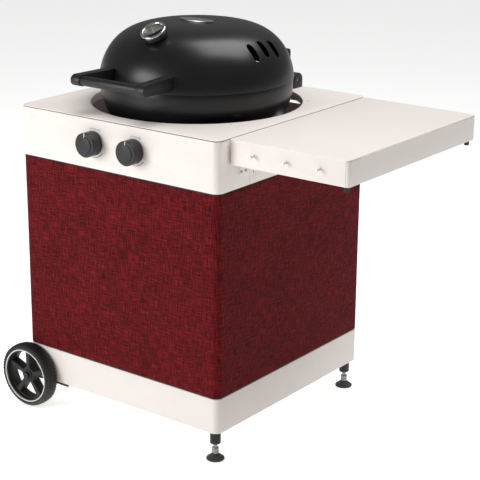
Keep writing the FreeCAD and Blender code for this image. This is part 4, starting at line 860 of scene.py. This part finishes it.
def brick(length, width, height, chamfer=0.15, taper=1.0):
    """A small block centred on the origin with chamfered upper edges."""
    work = bmesh.new()
    cut_back = min(length, width, height) * chamfer
    levels = ((-height / 2, 0.0, 1.0), (height / 2 - cut_back, 0.0, taper),
              (height / 2, cut_back, taper))
    loops = []
    for level, back, scale in levels:
        a, b = (length / 2 - back) * scale, (width / 2 - back) * scale
        loops.append([work.verts.new((x, y, level))
                      for x, y in ((a, b), (-a, b), (-a, -b), (a, -b))])
    for low, high in zip(loops, loops[1:]):
        for n in range(4):
            work.faces.new((low[n - 1], low[n], high[n], high[n - 1]))
    work.faces.new(reversed(loops[0]))
    work.faces.new(loops[-1])
    return closed_mesh("brick", work)


def lathe(name, profile, sides=96):
    """A closed outline of (radius, height) points turned round Z."""
    work = bmesh.new()
    rings = []
    for n in range(sides):
        turn = math.tau * n / sides
        rings.append([work.verts.new((r * math.cos(turn), r * math.sin(turn), z))
                      for r, z in profile])
    for n in range(sides):
        for k in range(len(profile)):
            corners = [rings[n - 1][k - 1], rings[n][k - 1], rings[n][k], rings[n - 1][k]]
            work.faces.new(corners)
    bmesh.ops.remove_doubles(work, verts=work.verts, dist=0.000001)
    bmesh.ops.dissolve_degenerate(work, dist=0.0000005, edges=work.edges)
    return closed_mesh(name, work)


def stand_on(axis, place):
    """A matrix that stands +Z along an axis at a place."""
    turn = Vector((0, 0, 1)).rotation_difference(Vector(axis)).to_matrix().to_4x4()
    return Matrix.Translation(Vector(place)) @ turn


print("ring tree ready")

# %% [markdown]
# ## Tyres
# The real tyre is solid black rubber with a rounded crown, three fine grooves
# and shallow blocks at both shoulders, so that it grips a lawn. The turned
# profile carries the grooves and the ring tree adds the shoulder blocks.

# %% Tyres with tread
RUBBER_WALL, SHOULDER_DROP, WALL_DROP, CROWN_DROP = 0.012, 0.0068, 0.0095, 0.0012
GROOVE_DEPTH, GROOVE_SHAPE = 0.0018, ((0.0006, 0), (0.0009, 1), (0.0019, 1), (0.0022, 0))
BLOCK_COUNT, BLOCK_SUNK = 60, 0.0041
for end, out in (("front", -1), ("rear", 1)):
    low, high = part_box(f"tyre_{end}")
    axis_place = joints[f"wheel_{end}_spin"]["pos_m"]
    outer = (high.z - low.z) / 2
    width = high.y - low.y
    inner = outer - RUBBER_WALL
    crown = []
    for n in range(13):
        share = n / 12
        bulge = math.sin(math.pi * share) ** 0.45 if 0 < share < 1 else 0.0
        crown.append((outer - CROWN_DROP - SHOULDER_DROP * (1 - bulge),
                      width * (0.03 + 0.94 * share)))
    grooved = []
    for n, (radius, height) in enumerate(crown):
        grooved.append((radius, height))
        if n in (4, 6, 8):
            grooved += [(radius - depth * GROOVE_DEPTH, height + shift)
                        for shift, depth in GROOVE_SHAPE]
    profile = [(inner, 0.0), (inner, width)] + list(reversed(grooved))
    profile.insert(2, (outer - WALL_DROP, width))
    profile.append((outer - WALL_DROP, 0.0))
    tyre = new_piece(f"tyre_{end}_rubber", lathe("tyre", profile, 120))
    blocks = []
    for side, height in (("inner", width * 0.16), ("outer", width * 0.84)):
        block = run_tree(f"tread_{end}_{side}", ring_tree, brick(0.0022, 0.0046, 0.0058),
                         Count=BLOCK_COUNT, Radius=outer - BLOCK_SUNK,
                         Start=0.05 if side == "inner" else 0.0,
                         Material=finishes["tyre_rubber"])
        block.data.transform(Matrix.Translation((0, 0, height)))
        blocks.append(block)
    base = (axis_place[0], high.y if out < 0 else low.y, axis_place[2])
    for piece, nodes in [(tyre, [f"tyre_{end}"])] + [(block, []) for block in blocks]:
        piece.data.transform(stand_on((0, out, 0), base))
        place_piece(piece, f"wheel_{end}", "tyre_rubber", *nodes, angle=38)
    print(f"tyre_{end}", round(outer, 4), "m radius,", len(tyre.data.polygons), "faces")

# %% [markdown]
# ## Thermometer
# The gauge leans towards the cook. The needle's joint gives its exact axis, so
# the printed marks are made flat, round the origin, and then moved with one
# matrix. The bezel is coined: small notches run round its lower edge, where a
# hand would turn it. Only plain temperature numbers are on the dial.

# %% Dial marks and bezel notches
needle_joint = joints["gauge_needle_turn"]
gauge_axis = -Vector(needle_joint["axis"])
gauge_place = stand_on(gauge_axis, needle_joint["pos_m"])
to_gauge = gauge_place.inverted()
dial_points = [to_gauge @ vertex.co for vertex in frame["nodes"]["gauge_dial"].data.vertices]
dial_top = max(point.z for point in dial_points)
dial_radius = max(point.xy.length for point in dial_points)
SWEEP = math.radians(270)
START = math.radians(225)
MARK_EDGE, NUMBER_RADIUS, NUMBER_SIZE, INK = 0.0035, 0.0165, 0.0062, 0.0001
for name, count, length, width in (("dial_marks_long", 10, 0.0034, 0.0007),
                                   ("dial_marks_short", 45, 0.0018, 0.0004)):
    ticks = run_tree(name, ring_tree, brick(length, width, 2 * INK), Count=count,
                     Radius=dial_radius - MARK_EDGE - length / 2, Start=START, Sweep=-SWEEP,
                     Material=finishes["dark_print"])
    ticks.data.transform(gauge_place @ Matrix.Translation((0, 0, dial_top + INK)))
    place_piece(ticks, "lid", "dial_face")
for number, share in ((100, 0.2), (200, 0.5), (300, 0.8)):
    text = bpy.data.curves.new(f"dial_number_{number}", "FONT")
    text.body = str(number)
    text.size = NUMBER_SIZE
    text.align_x = "CENTER"
    text.align_y = "CENTER"
    text.extrude = INK
    label = settle(new_piece(f"dial_number_{number}", text))
    turn = START - SWEEP * share
    label.data.transform(gauge_place @ Matrix.Translation(
        (math.cos(turn) * NUMBER_RADIUS, math.sin(turn) * NUMBER_RADIUS, dial_top + INK)))
    paint(label, "dark_print")
    place_piece(label, "lid", "dial_face")
bezel_points = [to_gauge @ vertex.co for vertex in frame["nodes"]["gauge_bezel"].data.vertices]
bezel_low = min(point.z for point in bezel_points)
bezel_radius = max(point.xy.length for point in bezel_points)
notches = run_tree("bezel_notches", ring_tree, brick(0.0014, 0.0042, 0.0042, 0.3), Count=24,
                   Radius=bezel_radius - 0.0009, Material=finishes["polished_chrome"])
notches.data.transform(gauge_place @ Matrix.Translation((0, 0, bezel_low + 0.0023)))
place_piece(notches, "lid", "polished_chrome")
print("dial radius", round(dial_radius, 4))

# %% [markdown]
# ## Flame ports
# Gas leaves each burner ring through many small holes in its upper outer side.
# They show when the lid is open. Each port is a short dark collar, and the ring
# tree spaces them evenly.

# %% Ports of both burners
BURNER_TUBE, PORT_SPACING = 0.012, 0.011
for size, body_node in (("large", "burner_large"), ("small", "burner_small")):
    low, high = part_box(body_node)
    ring_radius = (high.x - low.x) / 2 - BURNER_TUBE
    port = lathe("port", [(0.0009, -0.001), (0.0021, -0.001), (0.0021, 0.0006), (0.0017, 0.001),
                          (0.0009, 0.001)], 10)
    lean = math.radians(35)
    port.transform(Matrix.Translation((BURNER_TUBE * math.sin(lean), 0,
                                       BURNER_TUBE * math.cos(lean)))
                   @ Matrix.Rotation(lean, 4, "Y"))
    ports = run_tree(f"flame_ports_{size}", ring_tree, port,
                     Count=int(math.tau * ring_radius / PORT_SPACING), Radius=ring_radius,
                     Material=finishes["black_frame"])
    centre = Vector((kettle.x, kettle.y, high.z - BURNER_TUBE))
    ports.data.transform(Matrix.Translation(centre))
    place_piece(ports, "cabinet", "stainless_steel")
    print(size, "ring", round(ring_radius, 3), "m,", len(ports.data.polygons), "faces")

# %% [markdown]
# ## Threads of the levelling feet
# A levelling foot is set by turning its threaded rod. The thread is a helix with
# a three-sided ridge, swept by a tree from a spiral and a tiny circle.

# %% Geometry Nodes: a screw thread
thread_tree, given, made = new_nodes("screw_thread", [
    ("Radius", FLOAT, 0.006), ("Length", FLOAT, 0.04), ("Turns", FLOAT, 20.0),
    ("Ridge", FLOAT, 0.0007), ("Material", MATERIAL, None)])
helix = add(thread_tree, "GeometryNodeCurveSpiral", Resolution=20, Rotations=given["Turns"],
            Start_Radius=given["Radius"], End_Radius=given["Radius"], Height=given["Length"])
ridge = add(thread_tree, "GeometryNodeCurvePrimitiveCircle", Resolution=3, Radius=given["Ridge"])
swept = add(thread_tree, "GeometryNodeCurveToMesh", Curve=helix.outputs["Curve"],
            Profile_Curve=ridge.outputs["Curve"], Fill_Caps=True)
finish_tree(thread_tree, swept.outputs["Mesh"], given["Material"], made)
PITCH, ROD_RADIUS, RIDGE, NUTS_HEIGHT = 0.00175, 0.00545, 0.0006, 0.0175
for end in ("front", "rear"):
    low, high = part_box(f"foot_screw_{end}")
    x, y = (low.x + high.x) / 2, (low.y + high.y) / 2
    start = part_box(f"foot_pad_{end}")[1].z + NUTS_HEIGHT
    length = high.z - start - 0.002
    thread = run_tree(f"thread_{end}", thread_tree, bpy.data.meshes.new("thread"),
                      Radius=ROD_RADIUS, Length=length, Turns=length / PITCH, Ridge=RIDGE,
                      Material=finishes["zinc_steel"])
    thread.data.transform(Matrix.Translation((x, y, start)))
    face_outwards(thread.data)
    place_piece(thread, f"screw_{end}", "zinc_steel")
    print("thread", end, round(length, 4), "m")

# %% [markdown]
# ## Printed marks round the knobs
# Thin dark arcs show which way the flame grows, and a small drop marks the
# flame. They are printed, so each is a very thin plate on the panel. The arcs
# swell towards their full end.

# %% Panel print
PRINT_RADIUS, PRINT_DEPTH = 0.0415, 0.00015
panel_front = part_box("control_panel")[0].y


def printed_arc(name, centre, radius, first, last, thin, thick_end):
    """A flat arc that swells from one width to another, in the panel's plane."""
    work = bmesh.new()
    bands = []
    for n in range(33):
        share = n / 32
        turn = math.radians(first + (last - first) * share)
        half = (thin + (thick_end - thin) * share) / 2
        bands.append([work.verts.new((centre[0] + r * math.sin(turn), y,
                                      centre[1] + r * math.cos(turn)))
                      for y in (panel_front, panel_front - PRINT_DEPTH)
                      for r in (radius - half, radius + half)])
    for low, high in zip(bands, bands[1:]):
        for a, b in ((0, 1), (1, 3), (3, 2), (2, 0)):
            work.faces.new((low[a], low[b], high[b], high[a]))
    for band in (bands[0], bands[-1]):
        work.faces.new((band[0], band[1], band[3], band[2]))
    return new_piece(name, closed_mesh(name, work))


for side in ("left", "right"):
    where = joints[f"knob_{side}_turn"]["pos_m"]
    centre = (where[0], where[2])
    arcs = [printed_arc(f"scale_{side}_low", centre, PRINT_RADIUS, 196, 128, 0.0005, 0.0022),
            printed_arc(f"scale_{side}_high", centre, PRINT_RADIUS, -22, 26, 0.0004, 0.0010),
            printed_arc(f"flame_{side}", (centre[0] + 0.0225, centre[1] + 0.0395), 0.0028, 20,
                        340, 0.0004, 0.0013)]
    for arc in arcs:
        paint(arc, "panel_ink")
        place_piece(arc, "cabinet", "white_powder_coat")
print("print on", round(panel_front, 4))

# %% [markdown]
# ## Screws and rivets
# Pan-head screws hold the housing, and small rivets sit round the opening in the
# top plate. A head is turned once and given a cross
# recess. A row tree then sets the heads on the points of a small mesh.

# %% Geometry Nodes: items on points
point_tree, given, made = new_nodes("items_on_points", [
    ("Item", OBJECT, None), ("Material", MATERIAL, None)])
item = add(point_tree, "GeometryNodeObjectInfo", Object=given["Item"])
placed = add(point_tree, "GeometryNodeInstanceOnPoints", Points=given["Geometry"],
             Instance=item.outputs["Geometry"])
finish_tree(point_tree, placed.outputs["Instances"], given["Material"], made)


def screw_head(radius, height, axis):
    """A domed head with a cross recess that faces along an axis."""
    dome = [(0.0, -0.0006), (radius, -0.0006)]
    dome += [(radius * math.cos(turn), height * math.sin(turn))
             for turn in (0.15, 0.5, 0.85, 1.15)] + [(radius * 0.36, height), (0.0, height)]
    mesh = lathe("screw_head", dome, 24)
    head = new_piece("screw_head", mesh)
    for turn in (0, 90):
        slot = new_piece("recess", brick(radius * 1.1, radius * 0.26, height * 1.2))
        slot.data.transform(Matrix.Translation((0, 0, height)) @ Matrix.Rotation(
            math.radians(turn), 4, "Z"))
        carve = head.modifiers.new("recess", "BOOLEAN")
        carve.object = slot
        carve.solver = "EXACT"
        slot.hide_render = True
    head = settle(head)
    head.data.transform(stand_on(axis, (0, 0, 0)))
    return head


def screws(name, body, slot, radius, height, axis, spots):
    """The same screw at several places."""
    head = screw_head(radius, height, axis)
    mesh = bpy.data.meshes.new(name)
    mesh.from_pydata([tuple(spot) for spot in spots], [], [])
    row = run_tree(name, point_tree, mesh, Item=head, Material=finishes[slot])
    paint(row, slot)
    bpy.data.objects.remove(head)
    place_piece(row, body, slot)
    print(name, len(spots), "heads")
    return row


side_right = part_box("housing_sides")[1].x
housing_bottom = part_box("control_panel")[0].z
rear_low, rear_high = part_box("housing_rear")
screws("housing_side_screws", "cabinet", "zinc_steel", 0.0035, 0.0016, (1, 0, 0),
       [(side_right, plate_low.y + 0.100, plate_high.z - 0.096),
        (side_right, rear_high.y - 0.030, housing_bottom + 0.020)])
screws("housing_rear_screws", "cabinet", "zinc_steel", 0.0035, 0.0016, (0, 1, 0),
       [(x, rear_high.y, z) for x in (rear_low.x + 0.02, rear_high.x - 0.02)
        for z in (rear_low.z + 0.02, rear_high.z - 0.02)])
RIVET_RING = 0.311 + 0.016
screws("opening_rivets", "cabinet", "stainless_steel", 0.003, 0.0012, (0, 0, 1),
       [(kettle.x + RIVET_RING * math.cos(turn), kettle.y + RIVET_RING * math.sin(turn),
         plate_high.z) for turn in (math.radians(a) for a in (35, 145, 325))])

# %% [markdown]
# ## Everything that is left
# Recesses and tools are removed. Any node that no piece stands for keeps its own
# mesh and takes the finish of its slot.

# %% Finish the remaining nodes and close the lesson
for leftover in [item for item in bpy.data.objects
                 if item.name.endswith("_source") or item.name.startswith("recess")]:
    bpy.data.objects.remove(leftover)
kept = []
for node, item in frame["nodes"].items():
    if not item.hide_render:
        paint(item, slot_of_node[node])
        kept.append(node)
print("kept as they are:", kept)
